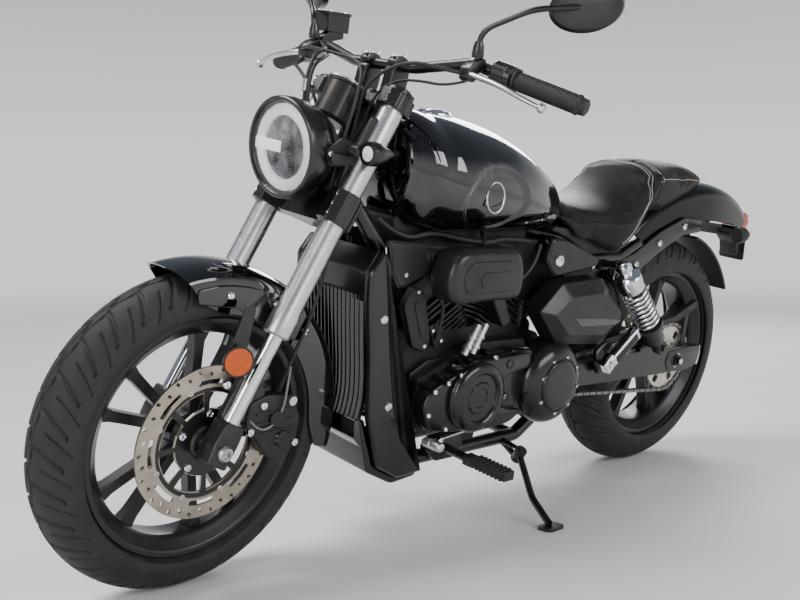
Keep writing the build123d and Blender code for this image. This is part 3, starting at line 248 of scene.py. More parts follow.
core_grey = finish("core_grey", (0.02, 0.02, 0.022), (0.05, 0.05, 0.052), 0.4, 0.6, metal=0.5, grain=200)
print("with rubbers and metals:", len(bpy.data.materials))

# %% Lenses, seat covers and mirror glass
red_lens = finish("red_lens", (0.45, 0.01, 0.008), (0.6, 0.02, 0.012), 0.1, 0.16, coat=1.0, grain=90)
clear_lens = finish("clear_lens", (0.75, 0.76, 0.78), (0.85, 0.86, 0.88), 0.06, 0.12, coat=1.0, grain=120)
vinyl = finish("vinyl", (0.009, 0.009, 0.0098), (0.014, 0.014, 0.015), 0.4, 0.52, grain=45, bump=0.5,
    bump_size=900, Specular_IOR_Level=0.2)
vinyl_brown = finish("vinyl_brown", (0.015, 0.012, 0.011), (0.023, 0.019, 0.017), 0.42, 0.55, grain=45,
    bump=0.5, bump_size=900, Specular_IOR_Level=0.2)
mirror_face = finish("mirror_face", (0.82, 0.83, 0.85), (0.86, 0.87, 0.88), 0.02, 0.03, metal=1.0, grain=5)
print("finishes:", len(bpy.data.materials))

# %% [markdown]
# The solids arrive as bare meshes. A short table says which finish each wears, so no node is left
# grey, and pieces drawn later can hide a solid and wear something finer.

# %% Every CAD node gets its finish
WEARS = {
    "gloss_black": ["fuel_tank", "radiator_cowl", "rear_fender", "front_fender"],
    "satin_black": ["main_frame", "swingarm", "fork_yokes", "headlight_shell", "handlebar", "front_rim",
        "rear_rim", "bar_risers", "side_stand", "mirrors"],
    "matte_black": ["fender_struts", "headlight_arms", "chain_guard", "plate_holder", "instrument",
        "switchgear", "rear_indicators", "front_indicators", "stand_mount", "exhaust"],
    "cast_black": ["engine_cases", "cylinders", "brake_caliper"],
    "cover_black": ["engine_covers"],
    "bronze_black": ["air_cleaner", "side_cases", "frame_covers"],
    "rubber": ["front_tyre", "rear_tyre"],
    "soft_rubber": ["grips", "control_cables", "passenger_pegs"],
    "chrome": ["filler_cap", "shock_springs", "fork_sliders"],
    "silver": ["fork_outers", "hand_levers"],
    "alloy": ["footrests", "shock_bodies"],
    "disc_steel": ["front_disc", "rear_disc"],
    "chain_steel": ["drive_chain", "front_sprocket"],
    "sprocket_steel": ["rear_sprocket"],
    "core_grey": ["radiator"],
    "red_lens": ["tail_lamp"],
    "clear_lens": ["headlight_lens"],
    "vinyl": ["rider_seat"],
    "vinyl_brown": ["pillion_seat"],
    "mirror_face": ["mirror_glass"],
}


def wear(node, material):
    """Put one finish on a CAD node, whose mesh stays as it is."""
    node.data.materials.clear()
    node.data.materials.append(material)
    for face in node.data.polygons:
        face.material_index = 0


for look, names in WEARS.items():
    for name in names:
        wear(frame["nodes"][name], bpy.data.materials[look])
print("dressed:", sum(len(names) for names in WEARS.values()), "of", len(frame["nodes"]))

# %% [markdown]
# Gloss black is seen by what it reflects: large soft lights give it bright panels with soft edges.
# A pale floor lights the underside, and glows a little far out, which hides its far edge.

# %% Floor
FLOOR_HALF, FLOOR_GAP = 14, 0.0005
FLOOR_GLOW = {"From Min": 1.5, "From Max": 9.5, "To Min": 0.0, "To Max": 0.82}
HORIZON, ZENITH = (0.95, 0.94, 0.92, 1), (0.16, 0.18, 0.22, 1)

floor_mesh = bpy.data.meshes.new("floor")
floor_corners = [(x * FLOOR_HALF, y * FLOOR_HALF, 0) for x, y in ((-1, -1), (1, -1), (1, 1), (-1, 1))]
floor_mesh.from_pydata(floor_corners, [], [(0, 1, 2, 3)])
floor = bpy.data.objects.new("floor", floor_mesh)
bpy.context.scene.collection.objects.link(floor)
floor.location.z = cad_box[0][2] - FLOOR_GAP
floor_paint = finish("floor_paint", (0.78, 0.775, 0.765), (0.82, 0.815, 0.805), 0.55, 0.7, grain=3,
    bump=0.05)
floor_mesh.materials.append(floor_paint)
paint, paint_links = floor_paint.node_tree.nodes, floor_paint.node_tree.links
reach = paint.new("ShaderNodeVectorMath")
reach.operation = "LENGTH"
fade = paint.new("ShaderNodeMapRange")
fade.interpolation_type = "SMOOTHSTEP"
for socket, value in FLOOR_GLOW.items():
    fade.inputs[socket].default_value = value
paint_links.new(paint.new("ShaderNodeTexCoord").outputs["Object"], reach.inputs[0])
paint_links.new(reach.outputs["Value"], fade.inputs["Value"])
painted = paint["Principled BSDF"]
painted.inputs["Emission Color"].default_value = HORIZON
paint_links.new(fade.outputs["Result"], painted.inputs["Emission Strength"])
print("floor at", round(floor.location.z, 4))

# %% Sky
world = bpy.data.worlds.new("studio")
bpy.context.scene.world = world
world.use_nodes = True
sky, sky_links = world.node_tree.nodes, world.node_tree.links
sky_split = sky.new("ShaderNodeSeparateXYZ")
sky_ramp = sky.new("ShaderNodeValToRGB")
sky_links.new(sky.new("ShaderNodeTexCoord").outputs["Generated"], sky_split.inputs["Vector"])
sky_links.new(sky_split.outputs["Z"], sky_ramp.inputs["Fac"])
sky_links.new(sky_ramp.outputs["Color"], sky["Background"].inputs["Color"])
for stop, height, tone in zip(sky_ramp.color_ramp.elements, (0.06, 0.42), (HORIZON, ZENITH)):
    stop.color = tone
    stop.position = height
sky["Background"].inputs["Strength"].default_value = 1.1
print("sky:", world.name)

# %% Soft lights


def panel(name, place, target, size, power, colour=(1, 1, 1)):
    """Soft rectangular light that stands at a place and faces a target; its size is in metres."""
    lamp = bpy.data.lights.new(name, "AREA")
    lamp.shape, lamp.size, lamp.size_y = "RECTANGLE", *size
    lamp.energy, lamp.color = power, colour
    stand = bpy.data.objects.new(name, lamp)
    bpy.context.scene.collection.objects.link(stand)
    stand.location = place
    stand.rotation_euler = (Vector(target) - Vector(place)).to_track_quat("-Z", "Y").to_euler()


panel("key_light", (1.6, -1.2, 4.2), (0, 0, 0.5), (2.4, 2.4), 190, (1.0, 0.97, 0.93))
panel("side_light", (-0.6, 4.2, 2.3), (0, 0, 0.5), (3.6, 1.6), 120, (0.96, 0.98, 1.0))
panel("front_light", (4.4, 1.2, 1.9), (0.4, 0, 0.5), (1.6, 2.2), 70)
panel("back_light", (-3.2, -2.4, 2.6), (0, 0, 0.7), (2.2, 1.6), 110)
print("lights:", len(bpy.data.lights))

# %% [markdown]
# New pieces are surfaces worked out with numpy. A grid of points becomes quads, parts share one
# mesh, and one function makes it ride on a body, take a slot's finish or stand for a CAD node.

# %% Grids and parts
TURNING = ("steering", "front_wheel")


def skin(grid, round_trip=False):
    """Quads between neighbouring rows of a grid (n, m, 3), each row closed on itself.

    The first and last rows get a face each, unless a round trip joins the last to the first.
    """
    n, m = grid.shape[:2]
    ids = np.arange(n * m).reshape(n, m)
    i = np.arange(n if round_trip else n - 1)[:, None]
    j = np.arange(m)[None, :]
    corners = [ids[i, j], ids[i, (j + 1) % m], ids[(i + 1) % n, (j + 1) % m], ids[(i + 1) % n, j]]
    faces = np.stack(corners, -1).reshape(-1, 4).tolist()
    if not round_trip:
        faces += [ids[0][::-1].tolist(), ids[-1].tolist()]
    return grid.reshape(-1, 3), faces


def join(*parts):
    """Several (points, faces) parts as one."""
    points, faces, start = [], [], 0
    for verts, polygons in parts:
        points.append(verts)
        faces += [[start + k for k in face] for face in polygons]
        start += len(verts)
    return np.concatenate(points), faces


def copies(part, turns, moves):
    """One part at many places: p = T p + m for each turn T and move m, as one array."""
    verts, polygons = part
    all_verts = np.einsum("kij,nj->kni", np.asarray(turns, float),
        verts) + np.asarray(moves, float)[:, None, :]
    k, n = len(turns), len(verts)
    faces = [[copy * n + v for v in face] for copy in range(k) for face in polygons]
    return all_verts.reshape(k * n, 3), faces


def other_side(part):
    """A part's image in the machine's middle plane: y changes sign, and each face runs back."""
    verts, polygons = part
    return verts * (1, -1, 1), [face[::-1] for face in polygons]


def mirrored(part):
    """A part together with its image on the other side."""
    return join(part, other_side(part))


print("tools for grids and parts ready")

# %% [markdown]
# Doubled points are merged and faces turned outwards, then edges sharper than an angle stay crisp.
# A narrow bevel is worth its triangles where an edge catches the light.

# %% From a part to an object that rides on its body
MERGE_DISTANCE, BEVEL_SEGMENTS = 1e-6, 2


def build(name, part, look, body, stands_for=(), bevel=0.0, crease=32):
    """Object from a part in upright millimetres: placed, shaded, riding on its body."""
    verts, polygons = part
    mesh = bpy.data.meshes.new(name)
    mesh.from_pydata(placed(verts, body in TURNING).tolist(), [], polygons)
    work = bmesh.new()
    work.from_mesh(mesh)
    bmesh.ops.remove_doubles(work, verts=work.verts, dist=MERGE_DISTANCE)
    bmesh.ops.recalc_face_normals(work, faces=work.faces)
    work.to_mesh(mesh)
    work.free()
    mesh.shade_smooth()
    mesh.set_sharp_from_angle(angle=np.radians(crease))
    mesh.materials.append(look)
    obj = bpy.data.objects.new(name, mesh)
    bpy.context.scene.collection.objects.link(obj)
    if bevel:
        edge = obj.modifiers.new("edges", "BEVEL")
        edge.width, edge.segments, edge.limit_method = bevel / 1000, BEVEL_SEGMENTS, "ANGLE"
        edge.angle_limit = np.radians(crease)
    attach(obj, body)
    if stands_for:
        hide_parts(*stands_for)
    return obj


print("bodies that turn with the bars:", TURNING)

# %% [markdown]
# Half of a motorcycle is turned on a lathe: caps, tubes, bolts, lamps. A profile of (t, r) pairs,
# place along the axis and distance from it, is swept round.

# %% Turned shapes


def axes(along):
    """A unit direction and two more, square to it and to each other, by cross products."""
    along = np.asarray(along, float) / np.linalg.norm(along)
    helper = np.eye(3)[np.argmin(np.abs(along))]
    first = np.cross(along, helper)
    first /= np.linalg.norm(first)
    return along, first, np.cross(along, first)


def turned(profile, origin, along, steps):
    """Points origin + t a + r (u cos + v sin), one row for each (t, r) of a profile."""
    t, r = np.asarray(profile, float).T
    a, u, v = axes(along)
    angle = np.linspace(0, 2 * np.pi, steps, endpoint=False)
    circle = np.cos(angle)[:, None] * u + np.sin(angle)[:, None] * v
    return np.asarray(origin, float) + t[:, None, None] * a + r[:, None, None] * circle


def lathe(profile, origin, along, steps=48):
    """Turned solid: the profile starts and ends at the axis, and a small face closes each end."""
    return skin(turned(profile, origin, along, steps))


def ring(profile, origin, along, steps=64):
    """Turned ring: the profile is a closed outline away from the axis, so it has no ends."""
    return skin(turned(profile, origin, along, steps).transpose(1, 0, 2), round_trip=True)


def bolts(places, along, radius, height, steps=14):
    """Round-headed cap screws with a socket, one at each place, all facing one way."""
    r, h = radius, height
    profile = [(-1, 0.001), (-1, r), (h * 0.6, r), (h * 0.9, r * 0.86), (h, r * 0.6), (h * 0.45, r * 0.5),
        (h * 0.45, 0.001)]
    head = lathe(profile, (0, 0, 0), along, steps)
    return copies(head, [np.eye(3)] * len(places), places)


print("a screw head has", len(bolts([(0, 0, 0)], (0, 1, 0), 6, 5)[1]), "faces")

# %% [markdown]
# Tubes, hoses and levers are circles carried along a path. A few control points and a quadratic
# spline between them give the easy curve of a bent tube.

# %% Paths and tubes


def spline(points, steps=40):
    """Quadratic B-spline held at both ends, like a NURBS curve of order 3, at even parameters."""
    p = np.asarray(points, float)
    spans = len(p) - 2
    if spans < 1:
        return p[0] + (p[-1] - p[0]) * np.linspace(0, 1, steps)[:, None]
    mid = (p[1:-1] + p[2:]) / 2
    starts = np.concatenate([p[:1], mid[:-1]])
    ends = np.concatenate([mid[:-1], p[-1:]])
    s = np.linspace(0, spans, steps)
    k = np.minimum(s.astype(int), spans - 1)
    t = (s - k)[:, None]
    return (1 - t) ** 2 * starts[k] + 2 * t * (1 - t) * p[1:-1][k] + t ** 2 * ends[k]


def tube(points, radius, sides=12, steps=40, raw=False, flat=1.0):
    """Circles carried along a path; each lies square to it and is turned by one fixed direction."""
    path = np.asarray(points, float) if raw else spline(points, steps)
    t = np.gradient(path, axis=0)
    t /= np.linalg.norm(t, axis=1, keepdims=True)
    helper = np.eye(3)[np.argmin(np.abs(t).max(0))]
    u = np.cross(t, helper)
    u /= np.linalg.norm(u, axis=1, keepdims=True)
    v = np.cross(t, u)
    angle = np.linspace(0, 2 * np.pi, sides, endpoint=False)
    r = np.broadcast_to(np.asarray(radius, float), len(path))[:, None, None]
    grid = path[:, None] + r * (np.cos(angle)[:, None] * u[:, None] + flat * np.sin(angle)[:, None]
        * v[:, None])
    return skin(grid)


print("tools for paths and tubes ready")

# %% [markdown]
# The rest is flat stock: plates cut to an outline, with their corners rounded and their rims
# broken. An outline is drawn from the side in x and z and given two faces at two values of y.

# %% Plates and blocks


def softened(outline, radius, steps=5):
    """Each corner of a closed outline becomes a short quadratic curve cut back by a radius."""
    p = np.asarray(outline, float)
    before, after = np.roll(p, 1, 0) - p, np.roll(p, -1, 0) - p
    lb, la = np.linalg.norm(before, axis=1), np.linalg.norm(after, axis=1)
    back = np.minimum(radius, 0.45 * np.minimum(lb, la))[:, None]
    start, end = p + before / lb[:, None] * back, p + after / la[:, None] * back
    t = np.linspace(0, 1, steps)[:, None, None]
    curve = (1 - t) ** 2 * start + 2 * t * (1 - t) * p + t ** 2 * end
    return curve.transpose(1, 0, 2).reshape(-1, 2)


def plate(outline, y0, y1, radius, edge):
    """Outline (x, z) between two y with rounded rims: rings step in from the edge by an arc."""
    p = softened(outline, radius)
    side = np.roll(p, -1, 0) - np.roll(p, 1, 0)
    area = np.sum(p[:, 0] * np.roll(p[:, 1], -1) - np.roll(p[:, 0], -1) * p[:, 1])
    inward = np.stack([-side[:, 1], side[:, 0]], 1) * np.sign(area)
    inward /= np.linalg.norm(inward, axis=1, keepdims=True) + 1e-9
    turn = np.linspace(0, np.pi / 2, 4)
    inset, rise = edge * (1 - np.sin(turn)), edge * (1 - np.cos(turn))
    rows = [(y0 + a, b) for a, b in zip(rise, inset)] + [(y1 - a, b) for a,
        b in zip(rise[::-1], inset[::-1])]
    return skin(np.array([np.insert(p + inward * b, 1, y, axis=1) for y, b in rows]))


def block(centre, size, turn=np.eye(3)):
    """Box of a given size about a centre, turned by a matrix: p = T (corner * size) + centre."""
    corners = np.array([(x, y, z) for x in (-.5, .5) for y in (-.5, .5) for z in (-.5, .5)])
    faces = [[0, 1, 3, 2], [4, 6, 7, 5], [0, 4, 5, 1], [2, 3, 7, 6], [0, 2, 6, 4], [1, 5, 7, 3]]
    return (corners * size) @ np.asarray(turn).T + centre, faces


print("a plate with four corners has", len(plate([(0, 0), (9, 0), (9, 9), (0, 9)], 0, 5, 2, 1)[1]),
    "faces")

# %% [markdown]
# Slanted grooves run from near the middle of a tyre to its shoulders. Cutting them as solids would
# be slow, so the crown's grid is pushed in near slanted lines that repeat with a pitch.

# %% Tyres


def groove(gap, width):
    """1 in the groove and 0 outside, with a soft edge: clip((w/2 - |gap|) / 1.2 + 0.5)."""
    return np.clip((width / 2 - np.abs(gap)) / 1.2 + 0.5, 0, 1)


def tread_depth(along, across, pitch, half):
    """Depth in mm at a distance along the tyre and across its crown.

    A point is in a groove where its distance along, plus a slant that grows from the middle, comes
    close to a whole number of pitches. Long and short grooves take turns on the two sides.
    """
    side = np.abs(across)
    sign = np.where(across > 0, 0.0, 0.5)
    slant = 0.12 * side + 0.0065 * side ** 2
    first = (along + slant + sign * pitch) % pitch - pitch / 2
    second = (along + 0.0065 * side ** 2 + (sign + 0.5) * pitch) % pitch - pitch / 2
    long_cut = groove(first * 0.72, 5.5) * (side > half * 0.10) * (side < half * 0.86)
    short_cut = groove(second * 0.94, 3.4) * (side > half * 0.34) * (side < half * 1.02)
    middle = groove(side - half * 0.07 - 2 * np.sin(along * 2 * np.pi / pitch), 3.0)
    return 4.2 * np.maximum(np.maximum(long_cut, short_cut * 0.8), middle * 0.8)


def tyre(name, axle, radius, half, rim_radius, rim_half, body, around=720, pitches=30):
    """Torus of crown, walls and beads; the crown's points are moved in by the tread's depth."""
    crown = np.radians(np.linspace(-84, 84, 81))
    centre = radius - half
    bead = rim_half - 4.4
    wall = [(half - 0.6, centre - 6), (half - 2.2, centre - 7.4), (half - 4, centre - 9),
        (rim_half + 4, rim_radius + 4), (rim_half + 1.5, rim_radius + 1.2), (bead, rim_radius + 0.8),
        (bead - 8, rim_radius - 8), (bead - 8, rim_radius + 9)]
    left = [(-y, r) for y, r in reversed(wall)]
    u = np.linspace(0, 2 * np.pi, around, endpoint=False)[:, None]
    cut = tread_depth(u * radius, (crown * half)[None, :], 2 * np.pi * radius / pitches, half * 1.3)
    reach = half - cut
    y = np.concatenate([np.tile([p[0] for p in left], (around, 1)), reach * np.sin(crown),
        np.tile([p[0] for p in wall], (around, 1))], 1)
    r = np.concatenate([np.tile([p[1] for p in left], (around, 1)), centre + reach * np.cos(crown),
        np.tile([p[1] for p in wall], (around, 1))], 1)
    grid = np.stack([axle[0] + r * np.cos(u), y, axle[2] + r * np.sin(u)], -1)
    return build(name, skin(grid, round_trip=True), rubber, body, (f"{body[:-6]}_tyre",), crease=50)


tyre("front_road_tyre", FRONT_AXLE, 299.0, 60.0, 226.0, 46.0, "front_wheel")
tyre("rear_road_tyre", REAR_AXLE, 310.5, 75.0, 229.0, 56.0, "rear_wheel", pitches=28)

# %% [markdown]
# The tank's cross-section changes smoothly from nose to tail, so it is a grid of sections whose
# measures come from a few stations. A shallow recess is pressed into each side, where a plain
# oval ring stands in the badge's place.

# %% Fuel tank


def between(stations, x):
    """Smooth values at x from a table of stations: cubic pieces with slopes from neighbours."""
    table = np.asarray(stations, float)
    table = table[np.argsort(table[:, 0])]
    s, values = table[:, 0], table[:, 1:]
    slopes = np.gradient(values, s, axis=0)
    k = np.clip(np.searchsorted(s, x) - 1, 0, len(s) - 2)
    h = (s[k + 1] - s[k])[:, None]
    t = ((x - s[k]) / h[:, 0])[:, None]
    return ((2 * t ** 3 - 3 * t ** 2 + 1) * values[k] + (t ** 3 - 2 * t ** 2 + t) * h * slopes[k]
        + (3 * t ** 2 - 2 * t ** 3) * values[k + 1] + (t ** 3 - t ** 2) * h * slopes[k + 1])


print("halfway from 1 to 3:", between([(0, 1), (2, 3)], np.array([1.0]))[0, 0])

# %% Tank sections
# each station: x, foot z, crest z, half width, height of the crest above the widest line
TANK_STATIONS = [(1036, 760, 840, 48, 40), (1028, 738, 866, 80, 66), (1004, 700, 894, 116, 104),
    (930, 668, 902, 146, 136), (830, 661, 895, 152, 140), (720, 660, 870, 146, 132),
    (610, 662, 826, 122, 112), (530, 670, 776, 86, 76), (492, 682, 736, 50, 40), (482, 694, 722, 26, 20)]
SECTION_SIDES = 96


def section_curve(bottom, top, width, waist):
    """Closed section: a round crest above the waist line and a tucked side down to a flat foot."""
    angle = np.linspace(-np.pi / 2, 3 * np.pi / 2, SECTION_SIDES, endpoint=False)
    c, s = np.cos(angle), np.sin(angle)
    middle = top - waist
    y_up = np.sign(c) * np.abs(c) ** 0.92 * width[:, None]
    z_up = middle[:, None] + np.abs(s) * waist[:, None]
    y_low = np.sign(c) * np.abs(c) ** 0.42 * (width[:, None] * (1 - 0.16 * np.abs(s) ** 2))
    z_low = middle[:, None] - np.abs(s) ** 1.25 * (middle - bottom)[:, None]
    high = s > 0
    return np.where(high, y_up, y_low), np.where(high, z_up, z_low)


def pressed(x, z, centre, size, depth, edge):
    """How far in a point of the side moves: depth s s (3 - 2 s), where s falls from 1 to 0 over
    the edge of an oval."""
    reach = np.sqrt(((x - centre[0]) / size[0]) ** 2 + ((z - centre[1]) / size[1]) ** 2)
    share = np.clip((1 - reach) / edge, 0, 1)
    return depth * share ** 2 * (3 - 2 * share)


def folded(x, z):
    """Depth of the crease low on the side: a bell curve about a falling line, faded out."""
    bell = np.exp(-((z - (700 - 0.1 * (x - 640))) / 9.0) ** 2)
    return 5.0 * bell * np.clip((790 - x) / 60, 0, 1) * np.clip((x - 510) / 80, 0, 1)


print("tank stations:", len(TANK_STATIONS))

# %% Tank skin
BADGE_CENTRE, BADGE_HALF, BADGE_DEPTH, BADGE_EDGE = (812, 742), (98, 68), 7.0, 0.14
tank_x = np.concatenate([np.linspace(482, 500, 8)[:-1], np.linspace(500, 1000, 120),
    np.linspace(1000, 1036, 18)[1:]])
y, z = section_curve(*between(TANK_STATIONS, tank_x).T)
x = np.broadcast_to(tank_x[:, None], y.shape)
dent = pressed(x, z, BADGE_CENTRE, BADGE_HALF, BADGE_DEPTH, BADGE_EDGE)
inwards = dent * (np.abs(y) > 60) + folded(x, z) * (np.abs(y) > 30)
y = y - np.sign(y) * np.minimum(np.abs(y), inwards)
tank = build("fuel_tank_skin", skin(np.stack([x, y, z], -1)), gloss_black, "chassis", ("fuel_tank",),
    crease=60)
print("tank points:", len(tank.data.vertices))

# %% Badge rings


def oval_badge(side):
    """Oval ring that lies on the tank's side: a thin tube along an ellipse."""
    angle = np.linspace(0, 2 * np.pi, 64, endpoint=False)
    bx, bz = 822 + 26 * np.cos(angle), 748 + 31 * np.sin(angle)
    by = side * np.interp(bz, (700, 748, 800), (146.5, 144.5, 139.5))
    centre = np.stack([bx, by, bz], 1)
    out = np.stack([np.cos(angle), 0 * angle, np.sin(angle)], 1)
    turn = np.linspace(0, 2 * np.pi, 8, endpoint=False)
    grid = centre[:, None] + 1.9 * (np.cos(turn)[None, :, None] * out[:, None]
        + np.sin(turn)[None, :, None] * np.array((0, 1, 0)))
    return skin(grid, round_trip=True)


build("tank_badge_rings", join(oval_badge(1), oval_badge(-1)), silver, "chassis")
print("badge rings:", 2)

# %% [markdown]
# The headlight is a round can with a lit ring behind glass and a faceted bowl in the middle. A
# turned profile drawn with few steps and flat faces becomes the facets that scatter light.

# %% Headlight
LAMP = np.array([1268.0, 0, 818])
LAMP_OUT = np.array([np.cos(np.radians(3)), 0, -np.sin(np.radians(3))])
lit_ring = finish("lit_ring", (0.82, 0.84, 0.86), (0.9, 0.92, 0.94), 0.25, 0.35, coat=0.6, grain=50,
    Emission_Color=(0.95, 0.97, 1.0, 1), Emission_Strength=0.55)
glass = finish("glass", (0.96, 0.97, 0.98), (0.99, 0.99, 1.0), 0.0, 0.01, grain=5, Transmission_Weight=1.0,
    IOR=1.12)
bowl_silver = finish("bowl_silver", (0.04, 0.042, 0.045), (0.5, 0.51, 0.53), 0.08, 0.18, metal=1.0,
    grain=24)

# the can and the bowl are drawn as (distance ahead of the rim along the lamp's axis, radius)
can = [(-88, 0.1), (-88, 42), (-84, 48), (-62, 78), (-44, 86), (-24, 91), (-6, 93), (-1, 92.4), (1, 90),
    (1, 85), (-3, 82), (-16, 80.5), (-30, 72), (-52, 46), (-60, 20), (-60, 0.1)]
build("headlight_can", lathe(can, LAMP, LAMP_OUT, 96), satin_black, "steering", ("headlight_shell",),
    crease=30)
bowl = [(-14, 57), (-26, 55), (-44, 40), (-54, 18), (-56, 0.1)]
bowl_back = [(t - 1.5, r) for t, r in reversed(bowl)]
build("headlight_bowl", join(lathe(bowl + bowl_back, LAMP, LAMP_OUT, 20), lathe([(-56, 0.1), (-56, 17),
    (-34, 15), (-24, 9), (-21, 0.1)], LAMP, LAMP_OUT, 24)), bowl_silver, "steering",
    crease=8)
print("headlight can and bowl:", len(can), "and", len(bowl), "profile points")

# %% Headlight glass, fins and bolts
build("headlight_ring", ring([(-15, 57.5), (-9, 58), (-6, 62), (-5, 68), (-6, 75), (-9, 79), (-15, 79.5)],
    LAMP, LAMP_OUT, 96), lit_ring, "steering")
build("headlight_bar", block(LAMP + (-3.2, -37, 1), (2, 74, 21)), lit_ring, "steering",
    bevel=1.2)
dome = [(-4, 84), (-1, 84), (2.5, 74), (5.5, 50), (7, 24), (7.5, 0.1), (5.5, 0.1), (5, 24), (3.5, 50),
    (0.5, 74), (-4, 81)]
build("headlight_glass", lathe(dome, LAMP, LAMP_OUT, 96), glass, "steering", ("headlight_lens",))
fin_places = [LAMP + LAMP_OUT * -t for t in (70, 75, 80, 85, 90)]
fin_rings = [ring([(0, 40), (0, 74 - 3.5 * k), (2, 74 - 3.5 * k), (2, 40)], place, LAMP_OUT, 48) for k,
    place in enumerate(fin_places)]
build("headlight_fins", join(*fin_rings), cast_black, "steering", crease=20)
lamp_bolt_points = [(1212, 93.5, 815), (1228, 93.5, 822), (1160, 101, 818)]
build("headlight_bolts", mirrored(bolts(lamp_bolt_points, (0, 1, 0), 5.5, 4)), chrome, "steering")
lower_plate = plate([(1214, 728), (1196, 742), (1176, 800), (1196, 800), (1226, 748), (1262, 734),
    (1250, 726)], 26, 32, 6, 1.5)
build("headlight_cradle", join(mirrored(lower_plate), block((1232, 0, 728), (40, 60, 6))), matte_black,
    "steering", bevel=0.6)

# %% [markdown]
# A seat is foam under a stretched cover, so it swells between its seams. The CAD body is remade as
# an even skin and blown up a little by the cloth solver, which gives the bulge that a loft lacks.

# %% Foam and cover
VOXEL, TUCK, SWELLING_LIMIT = 5.5, 1.5, 9.0
PRESSURE, CLOTH_FRAMES = 4.0, 20


def read(mesh, field):
    """One vector per vertex of a mesh, as a flat array."""
    values = np.empty(len(mesh.vertices) * 3, np.float32)
    mesh.vertices.foreach_get(field, values)
    return values


def finished_mesh(obj):
    """New mesh of an object with its modifiers worked out."""
    graph = bpy.context.evaluated_depsgraph_get()
    return bpy.data.meshes.new_from_object(obj.evaluated_get(graph))


def even_skin(source, name):
    """A solid's form remade as small even faces, each point moved in: p - tuck * normal."""
    obj = bpy.data.objects.new(name, source.data.copy())
    bpy.context.scene.collection.objects.link(obj)
    obj.matrix_world = source.matrix_world.copy()
    bpy.context.view_layer.objects.active = obj
    remesh = obj.modifiers.new("even_skin", "REMESH")
    remesh.mode, remesh.voxel_size, remesh.use_smooth_shade = "VOXEL", VOXEL / 1000, True
    even = obj.modifiers.new("round_edges", "SMOOTH")
    even.factor, even.iterations = 0.5, 5
    bpy.context.view_layer.update()
    mesh = finished_mesh(obj)
    obj.modifiers.clear()
    obj.data = mesh
    mesh.vertices.foreach_set("co", read(mesh, "co") - read(mesh, "normal") * TUCK / 1000)
    return obj


def blow_up(obj):
    """Cloth pressure moves each point out, never past a limit: p + d min(1, limit / |d|)."""
    start = read(obj.data, "co")
    cloth = obj.modifiers.new("cover", "CLOTH")
    cover = cloth.settings
    cover.quality, cover.mass, cover.bending_stiffness = 4, 0.4, 2.0
    cover.tension_stiffness = cover.compression_stiffness = 25
    cover.use_pressure, cover.uniform_pressure_force = True, PRESSURE
    cover.effector_weights.gravity = 0
    cloth.point_cache.frame_start, cloth.point_cache.frame_end = 1, CLOTH_FRAMES
    for step in range(1, CLOTH_FRAMES + 1):
        bpy.context.scene.frame_set(step)
    move = (read(finished_mesh(obj), "co") - start).reshape(-1, 3)
    length = np.linalg.norm(move, axis=1, keepdims=True)
    move *= np.minimum(1, SWELLING_LIMIT / 1000 / np.maximum(length, 1e-9))
    obj.modifiers.clear()
    obj.data.vertices.foreach_set("co", (start.reshape(-1, 3) + move).ravel())
    bpy.context.scene.frame_set(1)
    print(obj.name, "mean and largest swelling in mm:", round(float(length.mean()) * 1000, 2),
        round(float(length.max()) * 1000, 2))


print("cushion faces are about", VOXEL, "mm wide")

# %% Padded seats


def cushion(node_name, name, look):
    """Padded object in the place of a seat's solid, with its place in its mesh."""
    obj = even_skin(frame["nodes"][node_name], name)
    blow_up(obj)
    mesh = obj.data
    mesh.transform(obj.matrix_world)
    obj.matrix_world = Matrix.Identity(4)
    mesh.materials.clear()
    mesh.materials.append(look)
    mesh.update()
    mesh.shade_smooth()
    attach(obj, "chassis")
    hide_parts(node_name)
    return obj


rider_cushion = cushion("rider_seat", "rider_cushion", vinyl)
pillion_cushion = cushion("pillion_seat", "pillion_cushion", vinyl_brown)
print("seat faces:", len(rider_cushion.data.polygons), len(pillion_cushion.data.polygons))

# %% [markdown]
# The fork's lower end is a dark cast lug with a chrome tube above it. The CAD holds both as one
# node, so each is drawn anew in the fork's own measures, where its legs stand upright.

# %% Fork lugs
lug_black = finish("lug_black", (0.028, 0.026, 0.024), (0.042, 0.039, 0.037), 0.32, 0.44, metal=0.5,
    coat=0.2, grain=50, bump=0.12, bump_size=2200)
LEG_FOOT, UP, LEFT = (0, 96, 0), (0, 0, 1), (0, 1, 0)


def on_fork(part):
    """A part drawn in fork measures, carried to upright ones."""
    return fork(part[0]), part[1]


lug_shape = [(-25, -29), (21, -29), (25, 9), (21, 52), (-21, 52), (-25, 26)]
lug_sleeve = plate(lug_shape, 76, 117, 6, 4)
arm_shape = [(-21, 50), (20, 50), (20, 132), (6, 140), (-40, 132), (-62, 108), (-74, 78), (-52, 62),
    (-24, 60)]
lug_arm = plate(arm_shape, 76, 92, 7, 3)
lug_parts = join(lug_sleeve, lug_arm, other_side(lug_sleeve))
build("fork_lugs", on_fork(lug_parts), lug_black, "steering", crease=30)
slots = [block((3 - 6 * (k % 2), 92.6, 66 + 9 * k), (3, 1.5, 5)) for k in range(7)]
build("lug_slots", on_fork(join(*slots)), chrome, "steering")
axle_cap = lathe([(118, 0.1), (118, 15), (124, 15), (128.5, 12), (128.5, 7), (124, 6.5), (124, 0.1)],
    fork([(0, 0, 0)])[0], LEFT, 32)
build("axle_cap", axle_cap, alloy, "steering")
print("lug slots:", len(slots))

